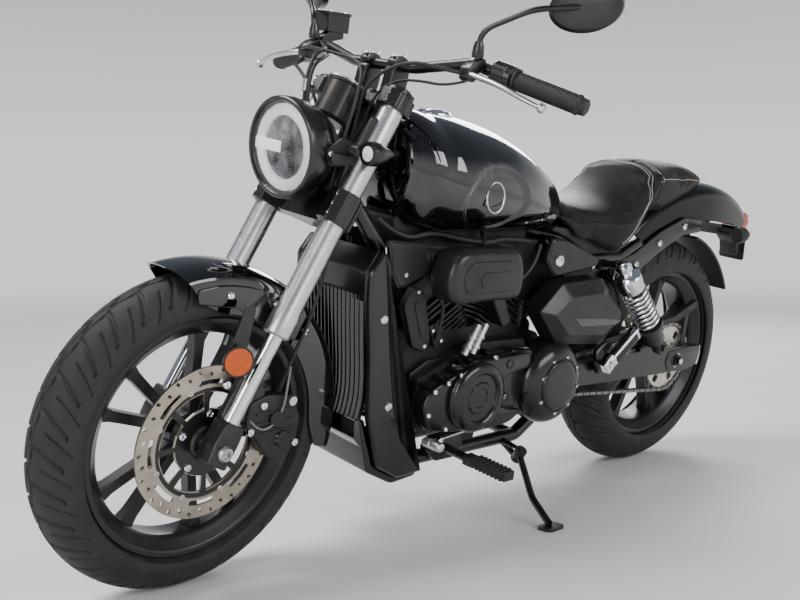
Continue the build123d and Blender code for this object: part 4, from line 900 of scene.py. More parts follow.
# %% Fork clamps
LOW_CLAMP, HIGH_CLAMP = (448, 512), (688, 722)
collars = [lathe([(low, 22), (low, 27.5), (low + 2, 29), (high - 2, 29), (high, 27.5), (high, 22)],
    LEG_FOOT, UP, 48) for low, high in (LOW_CLAMP, HIGH_CLAMP)]
cap = lathe([(720, 23.4), (722, 28), (728, 28), (731, 25), (731, 10), (728, 8), (728, 0.1)], LEG_FOOT, UP,
    40)
build("fork_clamps", on_fork(join(*[mirrored(part) for part in (*collars, cap)])), satin_black, "steering",
    crease=28)
clamp_bolts = [(29, 104, z) for z in (462, 481, 500, 698, 712)]
build("clamp_bolts", on_fork(mirrored(bolts(clamp_bolts, (0.55, 0.83, 0), 6.4, 6))), chrome, "steering")
print("clamp screws on each side:", len(clamp_bolts))

# %% [markdown]
# A reflector is an amber lens in a black cup on a bent stay. The cup is open at the front and the
# lens sits just inside its rim, so both are turned shapes on one slanted axis.

# %% Reflectors
REFLECTOR, REFLECTOR_OUT = (1410, 120, 466), (0.3, 1, 0)
amber = finish("amber", (0.42, 0.045, 0.0), (0.62, 0.1, 0.0), 0.3, 0.42, coat=0.1, grain=260, bump=0.6,
    bump_size=900)
reflector = lathe([(-3, 0.1), (-3, 26), (0, 28), (4, 28), (4, 25.5), (1, 25), (1, 0.1)], REFLECTOR,
    REFLECTOR_OUT, 48)
amber_lens = lathe([(1.2, 0.1), (1.2, 25), (4.6, 24.6), (6, 14), (6.4, 0.1)], REFLECTOR, REFLECTOR_OUT, 48)
stay = plate([(1396, 440), (1418, 470), (1408, 500), (1386, 560), (1366, 552), (1380, 470)], 98, 103, 6,
    1.5)
stay_pin = tube([(1396, 101, 470), (1408, 120, 466)], 6, 10, raw=True)
build("reflector_cups", join(*[mirrored(part) for part in (reflector, stay, stay_pin)]), satin_black,
    "steering", bevel=0.4)
build("reflectors", mirrored(amber_lens), amber, "steering")
print("reflector at", REFLECTOR)

# %% [markdown]
# The brake caliper is one casting with two pistons round the disc's rear edge. Each lump is a
# plate with wide rounded rims, which reads as a casting at a fraction of the faces.

# %% Front brake
caliper_shape = [(1354, 372), (1316, 384), (1262, 376), (1232, 330), (1238, 276), (1262, 254), (1304, 256),
    (1334, 300), (1362, 330)]
body = plate(caliper_shape, 70, 97, 12, 5)
bosses = [lathe([(0, 0.1), (0, 17), (6, 17), (9, 14), (9, 0.1)], place, LEFT,
    32) for place in ((1292, 96, 334), (1272, 96, 292))]
ribs = [plate([(1340, top), (1252, top), (1252, top - 6), (1340, top - 6)], 96, 99, 2,
    1) for top in (352, 332, 312)]
inner = plate([(1352, 370), (1262, 370), (1238, 326), (1242, 278), (1300, 264), (1330, 300)], 51, 56, 9,
    1.5)
bridge = plate([(1262, 370), (1238, 326), (1242, 278), (1258, 274), (1262, 330)], 51, 72, 5, 2)
build("caliper_casting", join(body, inner, bridge, *bosses, *ribs), cast_black, "steering",
    ("brake_caliper",), crease=35)
caliper_bolts = [(1326, 97, 365), (1351, 97, 318), (1244, 97, 280), (1372, 93, 402), (1410, 93, 416)]
build("caliper_bolts", bolts(caliper_bolts, LEFT, 8, 6), chrome, "steering")
banjo = join(lathe([(-2, 0.1), (-2, 9), (8, 9), (8, 0.1)], (1262, 97, 366), LEFT, 20), lathe([(0, 0.1),
    (0, 4), (12, 3.4), (13, 0.1)], (1284, 97, 300), (0.2, 0.2, -1), 14))
build("hose_banjo", banjo, chrome, "steering")
print("caliper screws:", len(caliper_bolts))

# %% [markdown]
# The engine's left side is a stack of castings: a flat cover with a raised rib round the
# generator's cap, and the clutch under a dome. Each is a plate or a profile with soft edges.

# %% Engine side covers
GENERATOR, CLUTCH, RIGHT_CAP = (805, 146, 324), (561, 124, 326), (660, -146, 340)
cover_outline = [(954, 318), (932, 262), (820, 246), (690, 252), (640, 330), (650, 412), (770, 408),
    (846, 386), (936, 352)]
cover = plate(cover_outline, 104.4, 140, 14, 6)
arms_outline = [(805, 405), (650, 409), (640, 372), (700, 366), (742, 350), (742, 298), (700, 284),
    (650, 276), (690, 250), (805, 244), (860, 262), (886, 300), (886, 348), (860, 388)]
arms = plate(arms_outline, 134, 152, 22, 6)
cap_profile = [(-8, 0.1), (-8, 78), (4, 78), (11, 74), (15, 66), (16, 58), (13, 53), (9, 51), (9, 36),
    (12, 33), (12, 22), (10, 20), (10, 0.1)]
dome = [(-20, 0.1), (-20, 97), (14, 97.5), (24, 95), (34, 89), (42, 80), (47, 68), (48.5, 62), (46.5, 60),
    (46.5, 58.5), (50, 57), (52.5, 53), (53, 46), (53, 0.1)]
neck = plate([(700, 254), (625, 256), (592, 330), (625, 410), (700, 416)], 104.4, 138, 12, 8)
right_outline = [(922, 300), (890, 250), (640, 246), (580, 300), (600, 410), (700, 440), (880, 440),
    (926, 400)]
right_cover = plate(right_outline, -147.5, -92.5, 26, 10)
right_cap = [(0, 0.1), (0, 80), (4, 79), (9, 73), (10, 62), (8, 58), (8, 40), (11, 37), (11, 0.1)]
castings = (cover, arms, lathe(cap_profile, GENERATOR, LEFT, 72), lathe(dome, CLUTCH, LEFT, 80), neck,
    right_cover, lathe(right_cap, RIGHT_CAP, (0, -1, 0), 72))
build("engine_side_covers", join(*castings), cover_black, "chassis", ("engine_covers",), crease=34)
print("castings:", len(castings))

# %% Cover ribs and screws
rib_places = ((934, 357), (898, 371), (862, 384), (812, 400), (762, 412))
ribs = [tube([(x, 84, z), (x, 138, z), (x - 2, 146, z - 9)], 5.5, 10, 10) for x, z in rib_places]
wire_box = plate([(944, 350), (860, 374), (860, 398), (900, 398), (950, 372)], 62, 84, 5, 2)
build("cover_ribs", join(*ribs, wire_box), cover_black, "chassis")
edge_bolts = [(x, 147, z - 6) for x, z in rib_places] + [(940, 141, 300), (884, 141, 262)]
build("cover_bolts", bolts(edge_bolts, (0, 1, 0.25), 5.2, 4), chrome, "chassis")
angle = np.radians([20, 62, 104, 146, 188, 230, 272, 330])
round_places = [(CLUTCH[0] + 66 * np.cos(a), 171, CLUTCH[2] + 66 * np.sin(a)) for a in angle]
build("clutch_bolts", bolts(round_places, LEFT, 4.2, 5), chrome, "chassis")
well = [(-3, 0.1), (-3, 11), (1.5, 11), (1.5, 8), (0.4, 7.4), (0.4, 0.1)]
wells = [lathe(well, place, LEFT, 24) for place in ((716, 152.5, 388), (706, 141, 309))]
build("cover_wells", join(*wells), cast_black, "chassis")
build("cover_well_bolts", bolts([(716, 149, 388), (706, 138, 309)], LEFT, 6, 4), alloy, "chassis")
print("cover screws:", len(edge_bolts) + len(round_places))

# %% Oil filler
FILLER, FILLER_UP = (843, 112, 390), (0.2, 0.35, 1)
filler = lathe([(0, 0.1), (0, 17), (6, 17), (9, 15), (9, 11), (6, 10), (6, 0.1)], FILLER, FILLER_UP, 32)
build("oil_filler", join(filler, block((843, 115, 400), (4, 16, 8))), satin_black, "chassis")
build("filler_ring", ring([(1, 17.2), (1, 18.6), (3, 18.6), (3, 17.2)], FILLER, FILLER_UP, 32), silver,
    "chassis")
print("oil filler at", FILLER)

# %% [markdown]
# Between the cylinders run the tubes of the pushrods, the coil and its leads, and the brackets
# that hold the heads to the frame. They fill the V, so the eye finds depth there and not a gap.

# %% Cylinders, tubes and brackets in the V
tubes = [tube([(758 + k, 104, 468), (800 + k, 112, 408)], 8.5, 16, 3) for k in (0, 24)]
collar = [(0, 8), (0, 11), (6, 11), (6, 8)]
collars = [lathe(collar, place, (42, 8, -60), 20) for place in ((774, 107, 445), (798, 107, 445),
    (788, 110, 425), (812, 110, 425))]
build("pushrod_tubes", join(*tubes, *collars), alloy, "chassis")
head_plate = plate([(962, 560), (986, 520), (950, 430), (912, 414), (900, 440), (926, 540)], 66, 84, 8, 3)
head_slot = plate([(952, 530), (958, 520), (930, 448), (920, 452)], 84, 86, 4, 1)
frame_lug = plate([(905, 470), (880, 478), (856, 430), (880, 420)], 70, 80, 4, 1.5)
build("head_brackets", join(mirrored(head_plate), mirrored(head_slot), frame_lug), cast_black, "chassis")
v_bolts = [(952, 84, 548), (918, 84, 430), (893, 80, 460), (866, 80, 436), (740, 108, 520),
    (724, 108, 480)]
build("bracket_bolts", bolts(v_bolts, LEFT, 5, 4), chrome, "chassis")
coil_case = plate([(748, 536), (716, 520), (690, 470), (716, 460), (756, 520)], 84, 118, 8, 4)
build("coil_case", coil_case, cast_black, "chassis")
lead = tube([(716, 110, 520), (690, 120, 560), (640, 122, 600), (620, 112, 640)], 4.5, 10, 24)
lead_two = tube([(930, 60, 600), (900, 96, 540), (880, 96, 500), (884, 84, 440)], 4, 10, 24)
build("ignition_leads", join(lead, lead_two), soft_rubber, "chassis")
print("screws in the V:", len(v_bolts))

# %% [markdown]
# The radiator sits behind a glossy fluted shell between two smooth side panels. The shell is one
# sheet whose depth follows a row of half waves, and each wave catches the light as a bright line.

# %% Radiator cowl
side_outline = [(1080, 642), (1113, 600), (1109, 540), (1090, 420), (1078, 300), (1044, 198), (984, 163),
    (914, 167), (984, 250), (1015, 330), (1040, 440), (1051, 540), (1059, 612)]
cowl_panel = plate(side_outline, 98, 119, 10, 7)
front_panel = plate([(1086, 641), (1113, 600), (1109, 540), (1097, 544), (1079, 620)], -103, 103, 4, 3)
belly = plate([(1078, 300), (1042, 196), (982, 164), (916, 168), (919, 152), (986, 146), (1058, 184),
    (1092, 300)], -103, 103, 8, 5)
build("radiator_shell", join(mirrored(cowl_panel), front_panel, belly), satin_black, "chassis",
    ("radiator_cowl",), crease=30)
blade_line = np.array([(1104, 552), (1096, 480), (1084, 400), (1079, 330), (1090, 296)], float)
FLUTES, FLUTE_STEPS = 16, 193


def flutes(count, half, depth):
    """Sheet behind a line whose front waves: x = line + out (d |cos(pi n y / 2h)| + a low bow).

    d is the depth of a wave, n their number and h half the sheet's width.
    """
    line = spline(blade_line, 30)
    run = np.gradient(line, axis=0)
    run /= np.linalg.norm(run, axis=1, keepdims=True)
    out = np.stack([-run[:, 1], run[:, 0]], 1)
    y = np.linspace(-half, half, FLUTE_STEPS)
    wave = depth * np.abs(np.cos(np.pi * count * y / (2 * half))) + 8 * (1 - (y / half) ** 2)
    offset = np.concatenate([wave, [-3.0, -3.0]])
    across = np.concatenate([y, [half, -half]])
    x = line[:, :1] + out[:, :1] * offset
    z = line[:, 1:] + out[:, 1:] * offset
    return skin(np.stack([x, np.broadcast_to(across, x.shape), z], -1))


build("radiator_flutes", flutes(FLUTES, 99.0, 4.5), gloss_black, "chassis",
    crease=35)
lip = plate([(1100, 300), (1098, 262), (1078, 240), (1062, 238), (1078, 268), (1084, 300)], -100, 100, 6,
    3)
build("cowl_lip", lip, gloss_black, "chassis")
cowl_bolts = [(1070, 118.5, 508), (1034, 118.5, 326)]
build("cowl_bolts", mirrored(bolts(cowl_bolts, LEFT, 9, 5)), chrome, "chassis")
print("radiator flutes:", FLUTES)

# %% [markdown]
# The air cleaner, the side cases and the covers are moulded shells with a broad slanted border that
# catches the light, so each is its outline in rows, scaled towards the middle.

# %% Air cleaner
cleaner_outline = [(742, 540), (950, 540), (962, 600), (936, 648), (760, 648), (738, 600)]
cleaner = plate(cleaner_outline, 112, 183, 34, 16)
face_ring = plate([(772, 562), (920, 562), (928, 600), (906, 626), (790, 626), (768, 600)], 180, 186, 18,
    2.5)
name_plate = plate([(790, 574), (876, 574), (882, 592), (868, 604), (796, 604), (784, 592)], 185, 188, 8,
    1)
stack = lathe([(0, 0.1), (0, 33), (72, 33), (72, 0.1)], (850, 40, 594), LEFT, 32)
build("air_cleaner_case", join(cleaner, face_ring, name_plate, stack), bronze_black, "chassis",
    ("air_cleaner",), crease=40)
print("air cleaner faces:", len(cleaner[1]))

# %% Side cases


def faceted(outline, y0, y1, inset, drop):
    """Plate with a wide slanted border: the outer face is the outline scaled to leave an inset."""
    p = softened(outline, 8, 3)
    middle = (p.max(0) + p.min(0)) / 2
    half = (p.max(0) - p.min(0)) / 2
    rows = [(y0, 0), (y1 - drop, 0), (y1 - 1.5, inset - 1.5), (y1, inset), (y1, inset * 1.1 + 2)]
    return skin(np.array([np.insert(middle + (p - middle) * (1 - b / half), 1, y, axis=1) for y,
        b in rows]))


case_outline = [(566, 556), (420, 562), (330, 480), (322, 462), (392, 400), (560, 416), (634, 496)]
side_case = faceted(case_outline, 100, 169, 30, 22)
pegs = tube([(470, 66, 500), (470, 101, 500)], 10, 20, 3)
build("side_case_shells", join(mirrored(side_case), mirrored(pegs)), bronze_black, "chassis",
    ("side_cases",), bevel=2.0, crease=20)
stripe = plate([(536, 480), (506, 458), (372, 452), (352, 462), (420, 470)], 168.6, 170.4, 2, 0.5)
blade_grey = finish("blade_grey", (0.1, 0.095, 0.09), (0.14, 0.135, 0.13), 0.34, 0.44, metal=0.7, grain=50)
build("side_case_blades", mirrored(stripe), blade_grey, "chassis")
print("side case outline:", len(case_outline), "points")

# %% Frame covers
VENTS, VENT_STEP = 4, 13
triangle = faceted([(590, 655), (545, 652), (412, 602), (414, 586), (572, 566), (606, 604)], 112, 127, 5,
    5)
neck_plate = faceted([(1062, 660), (884, 640), (884, 611), (1026, 561), (1052, 600)], 94, 107, 6, 5)
inner_pegs = [tube([(470, 92, 616), (470, 113, 616)], 8, 16, 3), tube([(1036, 72, 612), (1036, 95, 612)],
    8, 16, 3)]
build("frame_cover_shells", join(*[mirrored(p) for p in (triangle, neck_plate, *inner_pegs)]),
    bronze_black, "chassis", ("frame_covers",), bevel=1.0, crease=22)
vents = [plate([(x, 632), (x - 8, 632), (x - 12, 612), (x - 4, 612)], 106.5, 108, 2,
    0.5) for x in 962 - VENT_STEP * np.arange(VENTS)]
build("neck_vents", mirrored(join(*vents)), rubber, "chassis")
cover_screws = join(bolts([(568, 127, 605)], LEFT, 14, 7), bolts([(1012, 107, 590)], LEFT, 5, 3))
build("cover_screws", mirrored(cover_screws), chrome, "chassis")
print("vents on each side:", VENTS)

# %% [markdown]
# Small controls make a handlebar believable: clamps with screws, switch boxes with a seam, ribbed
# grips with collars, and levers that taper to a ball.

# %% Handlebar clamps
BAR_SIDE = np.array([(1030, 0, 986), (1030, 84, 986), (1006, 200, 1008), (950, 423, 958)], float)
CLAMP_SIDES, CLAMP_HALF, GRIP_START = (-38, 38), 13, 292


def on_bar(y, ahead=0.0, over=0.0):
    """Point at a given y on the left outer run of the bar: straight from its bend to its end."""
    share = (y - BAR_SIDE[2, 1]) / (BAR_SIDE[3, 1] - BAR_SIDE[2, 1])
    return BAR_SIDE[2] + (BAR_SIDE[3] - BAR_SIDE[2]) * share + (ahead, 0, over)


bar_run = on_bar(412) - on_bar(GRIP_START)
bar_run /= np.linalg.norm(bar_run)
foot_outline = [(1016, 932), (1066, 921), (1056, 962), (1052, 985), (1009, 985), (1010, 960)]
lid_outline = [(1009, 987), (1052, 987), (1046, 1001), (1034, 1006), (1016, 1001)]
risers = [plate(outline, y - CLAMP_HALF, y + CLAMP_HALF, radius, 3) for y in CLAMP_SIDES for outline,
    radius in ((foot_outline, 8), (lid_outline, 7))]
build("bar_clamps", join(*risers), satin_black, "steering", ("bar_risers",), crease=32)
clamp_heads = [(x, y, 1004) for x in (1013, 1048) for y in CLAMP_SIDES]
build("bar_clamp_bolts", bolts(clamp_heads, UP, 4.5, 4), chrome, "steering")
print("clamp screws:", len(clamp_heads))

# %% Grips and levers
LEVER_BALL = (1030, 388, 949)
s = np.linspace(0, 120, 120)
ribs = 17.4 + 0.35 * np.cos(2 * np.pi * s / 5) * (s > 10) * (s < 110)
grip_profile = [(-6, 11.3), (-6, 21), (-3, 22), (0, 21)] + list(zip(s, ribs)) + [(121, 18.6), (124, 18.6),
    (126, 16), (138, 15), (140, 12), (140, 11.3)]
grip = lathe(grip_profile, on_bar(GRIP_START), bar_run, 32)
build("rubber_grips", mirrored(grip), soft_rubber, "steering", ("grips",), crease=50)
lever_line = spline([(1040, 219, 991), (1047, 240, 988), (1048, 300, 978), (1046, 344, 964),
    (1034, 382, 951), LEVER_BALL], 40)
lever_width = np.interp(np.linspace(0, 1, 40), (0, 0.15, 0.7, 0.9, 0.95, 1), (7, 8, 6, 5, 8, 8.5))
lever = tube(lever_line, lever_width, 14, raw=True, flat=0.72)
ball = lathe([(-8, 0.1), (-7, 5), (-3, 8.4), (3, 8.4), (7, 5), (8, 0.1)], LEVER_BALL, (0.4, -0.8, 0.2), 20)
build("levers", mirrored(join(lever, ball)), silver, "steering", ("hand_levers",), crease=40)
print("grip profile:", len(grip_profile), "points")

# %% Switches and brake fluid tank
switch = lathe([(-50, 11.3), (-50, 20), (-46, 23), (-24, 23.4), (-23, 22.4), (-22, 23.4), (-10, 23),
    (-8, 20), (-8, 11.3)], on_bar(GRIP_START), bar_run, 32)
rocker = block(on_bar(262, -18, 12), (9, 14, 9), spin((1, 0, 0), -0.2))
mount = plate([(1004, 1001), (1012, 1020), (1036, 1013), (1052, 1000), (1052, 978), (1034, 974),
    (1026, 992)], 212, 238, 6, 3)
fluid_tank = join(block((972, -236, 1054), (58, 56, 36)), block((972, -236, 1074), (62, 60, 6)))
tank_arm = plate([(952, 1024), (1002, 1012), (1012, 1014), (1006, 1027), (990, 1037), (952, 1037)], -232,
    -212, 2, 1)
controls = [mirrored(part) for part in (switch, rocker, mount)]
build("bar_controls", join(*controls, fluid_tank, tank_arm), satin_black, "steering", ("switchgear",),
    bevel=1.2)
lid_bolts = [(x, y, 1077) for x in (952, 992) for y in (-256, -216)]
lever_bolts = [(1044, 225, 1003), (1044, -225, 1003)]
build("control_bolts", bolts(lid_bolts + lever_bolts, UP, 3.6, 3), chrome, "steering")
print("control screws:", len(lid_bolts) + len(lever_bolts))

# %% [markdown]
# Front indicators are bullets: a clear lens in front, a dark cone behind and a ribbed rubber stalk.
# The ribs are a cosine added to the radius of a turned profile, which costs nothing to model.

# %% Front indicators
INDICATOR_Y, INDICATOR_Z = 142, 830
lens_profile = [(-8, 0.1), (-8, 17), (0, 19), (4, 17), (8, 10), (10, 0.1)]
front_lens = lathe(lens_profile, (1178, INDICATOR_Y, INDICATOR_Z), (1, 0, 0), 36)
cone = lathe([(0, 17), (1, 21.5), (10, 22.5), (20, 22), (34, 17), (52, 9.5), (62, 5), (64, 0.1), (6, 0.1),
    (6, 17)], (1184, INDICATOR_Y, INDICATOR_Z), (-1, 0, 0), 36)
stalk_s = np.linspace(0, 32, 33)
stalk = lathe([(0, 0.1)] + list(zip(stalk_s, 9.5 + 1.6 * np.cos(stalk_s * 1.3))) + [(33, 0.1)],
    (1172, 93, INDICATOR_Z), LEFT, 24)
build("indicator_cones", mirrored(join(cone, stalk)), satin_black, "steering", ("front_indicators",),
    crease=40)
build("indicator_lenses", mirrored(front_lens), clear_lens, "steering")
print("indicators stand", 2 * INDICATOR_Y, "mm apart")

# %% [markdown]
# The speedometer is a can ahead of the upper clamp, turned in fork measures because it stands along
# the fork. Its dial is left dark and blank.

# %% Speedometer
CAN_LOW, CAN_HIGH, CAN_FOOT = 626, 706, (42, 0, 0)
gauge = lathe([(CAN_LOW, 0.1), (CAN_LOW, 31), (CAN_LOW + 7, 36), (CAN_HIGH - 8, 36), (CAN_HIGH - 7, 38.5),
    (CAN_HIGH, 39), (CAN_HIGH + 3, 37), (CAN_HIGH + 3, 33), (CAN_HIGH, 32), (CAN_HIGH, 0.1)], CAN_FOOT, UP,
    56)
gauge_stay = block((7, 0, 698), (11.8, 36, 12))
build("gauge_can", on_fork(join(gauge, gauge_stay)), bronze_black, "steering", ("instrument",), crease=30)
dial_glass = lathe([(CAN_HIGH + 0.3, 0.1), (CAN_HIGH + 0.3, 32.5), (CAN_HIGH + 1.5, 32.5),
    (CAN_HIGH + 2.5, 20), (CAN_HIGH + 2.8, 0.1)], CAN_FOOT, UP, 48)
build("gauge_glass", on_fork(dial_glass), gloss_black, "steering")
gauge_ring = ring([(CAN_HIGH - 2, 38.4), (CAN_HIGH - 2, 40), (CAN_HIGH + 2, 40), (CAN_HIGH + 2, 38.4)],
    CAN_FOOT, UP, 56)
build("gauge_ring", on_fork(gauge_ring), alloy, "steering")
lamp_arm = plate([(1228, 824), (1182, 820), (1164, 842), (1140, 892), (1122, 888), (1146, 826),
    (1176, 802), (1228, 804)], 92.4, 101, 7, 3)
build("lamp_arms", mirrored(lamp_arm), matte_black, "steering")
print("gauge height:", CAN_HIGH - CAN_LOW)

# %% [markdown]
# A fork leg is a chrome tube that slides into a wider satin one. Chrome tube and axle are drawn
# anew, and satin sleeves lie over the CAD's outer tubes.

# %% Fork legs
tube_part = lathe([(40, 0.1), (40, 16.5), (236, 16.5), (236, 0.1)], LEG_FOOT, UP, 48)
build("chrome_tubes", on_fork(mirrored(tube_part)), chrome, "steering", ("fork_sliders",), crease=40)
axle = tube([(0, -118, 0), (0, 118, 0)], 9.9, 24, 3)
spacers = [lathe([(a, 10.2), (a, 17), (b, 17), (b, 10.2)], (0, 0, 0), LEFT, 32) for a,
    b in ((66.5, 74), (-74, -46))]
build("front_axle", on_fork(join(axle, *spacers)), alloy, "steering", crease=40)
sleeve_part = lathe([(222, 17), (222, 22), (226, 26.5), (262, 26.5), (276, 23.4), (452, 23.4), (452, 17)],
    LEG_FOOT, UP, 56)
upper_part = lathe([(508, 17), (508, 23.4), (690, 23.4), (690, 17)], LEG_FOOT, UP, 56)
build("satin_tubes", on_fork(mirrored(join(sleeve_part, upper_part))), silver, "steering",
    crease=40)
side_panel = plate([(1464, 557), (1465, 583), (1430, 588), (1395, 587), (1355, 581), (1321, 571),
    (1285, 554), (1266, 532), (1290, 514), (1328, 512), (1380, 543)], 64, 71, 8, 3)
build("fender_panels", mirrored(side_panel), gloss_black, "steering")
panel_bolts = [(1401, 71, 569), (1300, 73.5, 546), (1225, 74.5, 488)]
build("fender_bolts", mirrored(bolts(panel_bolts, LEFT, 7, 5)), chrome, "steering")
print("screws on each fender panel:", len(panel_bolts))

# %% [markdown]
# The foot peg is ribbed rubber on a folding hinge, and the gear pedal a polished roller on a thin
# rod. Plain blocks with a bevel are enough for the rubber.

# %% Foot controls
base_outline = [(866, 222), (790, 226), (766, 196), (790, 166), (850, 166), (884, 200)]
base = plate(base_outline, 69, 90, 8, 2.5)
hinge = join(tube([(836, 86, 200), (836, 168, 199)], 9.5, 16, 4), block((836, 178, 199), (26, 22, 22)))
peg = join(block((834, 238, 201), (30, 96, 20)), *[block((834, 196 + 11 * k, 201),
    (33, 6, 24)) for k in range(8)])
pedal_arm = tube([(868, 96, 208), (884, 120, 212), (930, 160, 238), (975, 178, 262)], 6, 12, 20)
hub = lathe([(0, 0.1), (0, 13), (20, 13), (22, 10), (22, 0.1)], (868, 84, 208), LEFT, 28)
build("foot_brackets", mirrored(join(base, hinge, pedal_arm, hub)), satin_black, "chassis", ("footrests",),
    bevel=1.0)
build("peg_rubbers", mirrored(peg), soft_rubber, "chassis", bevel=1.5)
roller = lathe([(0, 0.1), (0, 8), (3, 10), (20, 10), (22, 8.5), (24, 10), (46, 10), (50, 8), (52, 0.1)],
    (975, 172, 262), (0, 1, 0.05), 28)
link = tube([(868, 108, 226), (800, 112, 236), (716, 112, 240)], 4, 10, 12)
knob = bolts([(868, 112, 226), (716, 112, 240)], LEFT, 8, 8)
build("pedal_rollers", mirrored(roller), silver, "chassis")
build("shift_link", join(link, knob), chrome, "chassis")
print("foot controls done")

# %% [markdown]
# The rear shock is a chrome head over a coil spring and a satin body. The wire is a circle carried
# along a helix, a little thicker than in the CAD.

# %% Rear shocks
SHOCK_TOP, SHOCK_LOW = np.array([349.0, 152, 581]), np.array([139.0, 152, 368])
COIL_TURNS, COIL_RADIUS, COIL_WIRE, COIL_START = 8.5, 28, 4.3, 70.5
run = SHOCK_LOW - SHOCK_TOP
length = np.linalg.norm(run)
run /= length
head = lathe([(12, 0.1), (12, 15), (18, 28), (24, 33), (62, 33), (66, 31), (66, 0.1)], SHOCK_TOP, run, 48)
eye = ring([(-12, 9.2), (-12, 17), (-9, 19), (9, 19), (12, 17), (12, 9.2)], SHOCK_TOP, LEFT, 40)
reservoir_cap = lathe([(0, 0.1), (0, 12), (5, 12), (7, 9), (7, 0.1)], SHOCK_TOP + (0, 12, 0), LEFT, 24)
build("shock_heads", mirrored(join(head, eye, reservoir_cap)), chrome, "chassis", ("shock_bodies",),
    crease=35)
body_part = lathe([(60, 0.1), (60, 9), (length - 96, 20), (length - 96, 34), (length - 86, 34),
    (length - 80, 26), (length - 34, 23), (length - 18, 15), (length - 12, 0.1)], SHOCK_TOP, run, 40)
low_ring = ring([(-12, 8.2), (-12, 16), (-9, 18), (9, 18), (12, 16), (12, 8.2)], SHOCK_LOW, LEFT, 40)
build("shock_sleeves", mirrored(join(body_part, low_ring)), lug_black, "chassis",
    crease=35)
turns = np.linspace(0, 2 * np.pi * COIL_TURNS, 320)
leg_side, leg_front = axes(run)[1:]
coil_reach = length - 96 - 66 - 9
coil = (SHOCK_TOP + np.outer(COIL_START + coil_reach * turns / turns[-1],
    run) + COIL_RADIUS * (np.outer(np.cos(turns), leg_side) + np.outer(np.sin(turns), leg_front)))
build("shock_coils", mirrored(tube(coil, COIL_WIRE, 12, raw=True)), chrome, "chassis", ("shock_springs",),
    crease=60)
print("shock length:", round(length, 1))

# %% [markdown]
# The passenger's pegs are folded up: chrome frames with a rubber pad along the top, each part a
# plate as in the real one.

# %% Passenger pegs
bracket = plate([(372, 318), (394, 380), (352, 404), (320, 380), (320, 328)], 129, 141, 10, 2)
boss = tube([(352, 122.5, 336), (352, 131, 336)], 12, 20, 3)
build("peg_brackets", mirrored(join(bracket, boss)), satin_black, "chassis", ("passenger_pegs",),
    bevel=0.5)
frame_bar = plate([(376, 366), (360, 346), (266, 412), (284, 436)], 151, 176, 4, 3)
hinge_block = plate([(372, 328), (396, 352), (368, 380), (342, 356)], 140, 173, 5, 3)
build("peg_frames", mirrored(join(frame_bar, hinge_block)), chrome, "chassis")
pad = plate([(358, 370), (350, 358), (278, 410), (288, 423)], 175, 178.5, 3, 1)
build("peg_pads", mirrored(pad), soft_rubber, "chassis")
build("peg_bolts", mirrored(bolts([(369, 173, 354)], LEFT, 8, 5)), chrome, "chassis")
print("passenger pegs done")

# %% Ends of the rear arm
NUT_PLACE = (0, 122, 310.5)
nut = lathe([(0, 0.1), (0, 16), (7, 16), (9, 14), (9, 9), (16, 8.5), (18, 0.1)], NUT_PLACE, LEFT, 6)
washer = lathe([(0, 0.1), (0, 19), (3, 19), (3, 0.1)], NUT_PLACE, LEFT, 32)
build("rear_axle_nuts", mirrored(join(nut, washer)), chrome, "chassis")
end_plate = plate([(-108, 341), (-60, 343), (40, 338), (52, 312), (36, 284), (-58, 279), (-104, 291),
    (-114, 316)], 121.6, 124, 5, 1)
build("arm_end_plates", mirrored(end_plate), satin_black, "chassis", bevel=0.4)
rim_line = [(-104, 343), (-112, 316), (-102, 289)]
edge_strip = tube([(x, 124.2, z) for x, z in rim_line], 1.6, 8, 10)
adjuster = join(tube([(-100, 112, 312), (-120, 112, 312)], 6, 12, 3), edge_strip)
build("arm_end_trims", mirrored(adjuster), silver, "chassis")
print("rear arm pieces done")

# %% [markdown]
# Hoses and cables hang in easy curves. Each is a circle carried along a NURBS line through a few
# control points. Three of them pass the same points as in the solids.

# %% Hoses and cables


def cable_path(route, resolution=10):
    """Points of the smooth line that a route controls, read from a NURBS curve of order 3."""
    curve = bpy.data.curves.new("cable_route", "CURVE")
    curve.dimensions = "3D"
    line = curve.splines.new("NURBS")
    line.points.add(len(route) - 1)
    line.points.foreach_set("co", np.insert(np.asarray(route, float), 3, 1, axis=1).ravel())
    line.order_u, line.use_endpoint_u, line.resolution_u = 3, True, resolution
    holder = bpy.data.objects.new("cable_route", curve)
    mesh = bpy.data.meshes.new_from_object(holder)
    points = np.empty(len(mesh.vertices) * 3)
    mesh.vertices.foreach_get("co", points)
    bpy.data.objects.remove(holder)
    bpy.data.curves.remove(curve)
    bpy.data.meshes.remove(mesh)
    return points.reshape(-1, 3)


brake_hose = [(1280, 78, 366), (1262, 78, 420), (1214, 78, 520), (1166, 56, 640), (1196, 62, 740),
    (1174, 62, 836), (1146, 62, 933), (1110, 24, 986), (1114, -60, 996), (1094, -170, 1002),
    (1050, -226, 994)]
clutch_cable = [(1052, 219, 989), (1084, 212, 991), (1116, 140, 1000), (1140, 66, 950), (1134, 50, 880),
    (1148, 48, 790), (1164, 44, 741)]
throttle_cable = [(1010, -252, 980), (1072, -220, 960), (1120, -150, 960), (1146, -60, 915),
    (1134, -46, 850), (1164, -44, 741)]
lamp_loop = [(1192, -34, 862), (1186, -44, 930), (1160, -60, 985), (1110, -90, 1000), (1070, -130, 1000),
    (1030, -190, 1012)]
second_loop = [(1192, -22, 862), (1192, -28, 920), (1172, -44, 968), (1120, -74, 984), (1066, -120, 992),
    (1034, -176, 1004)]
bar_wire = [(1020, 236, 986), (1046, 190, 962), (1066, 130, 966), (1080, 84, 960), (1100, 52, 930),
    (1110, 46, 880)]
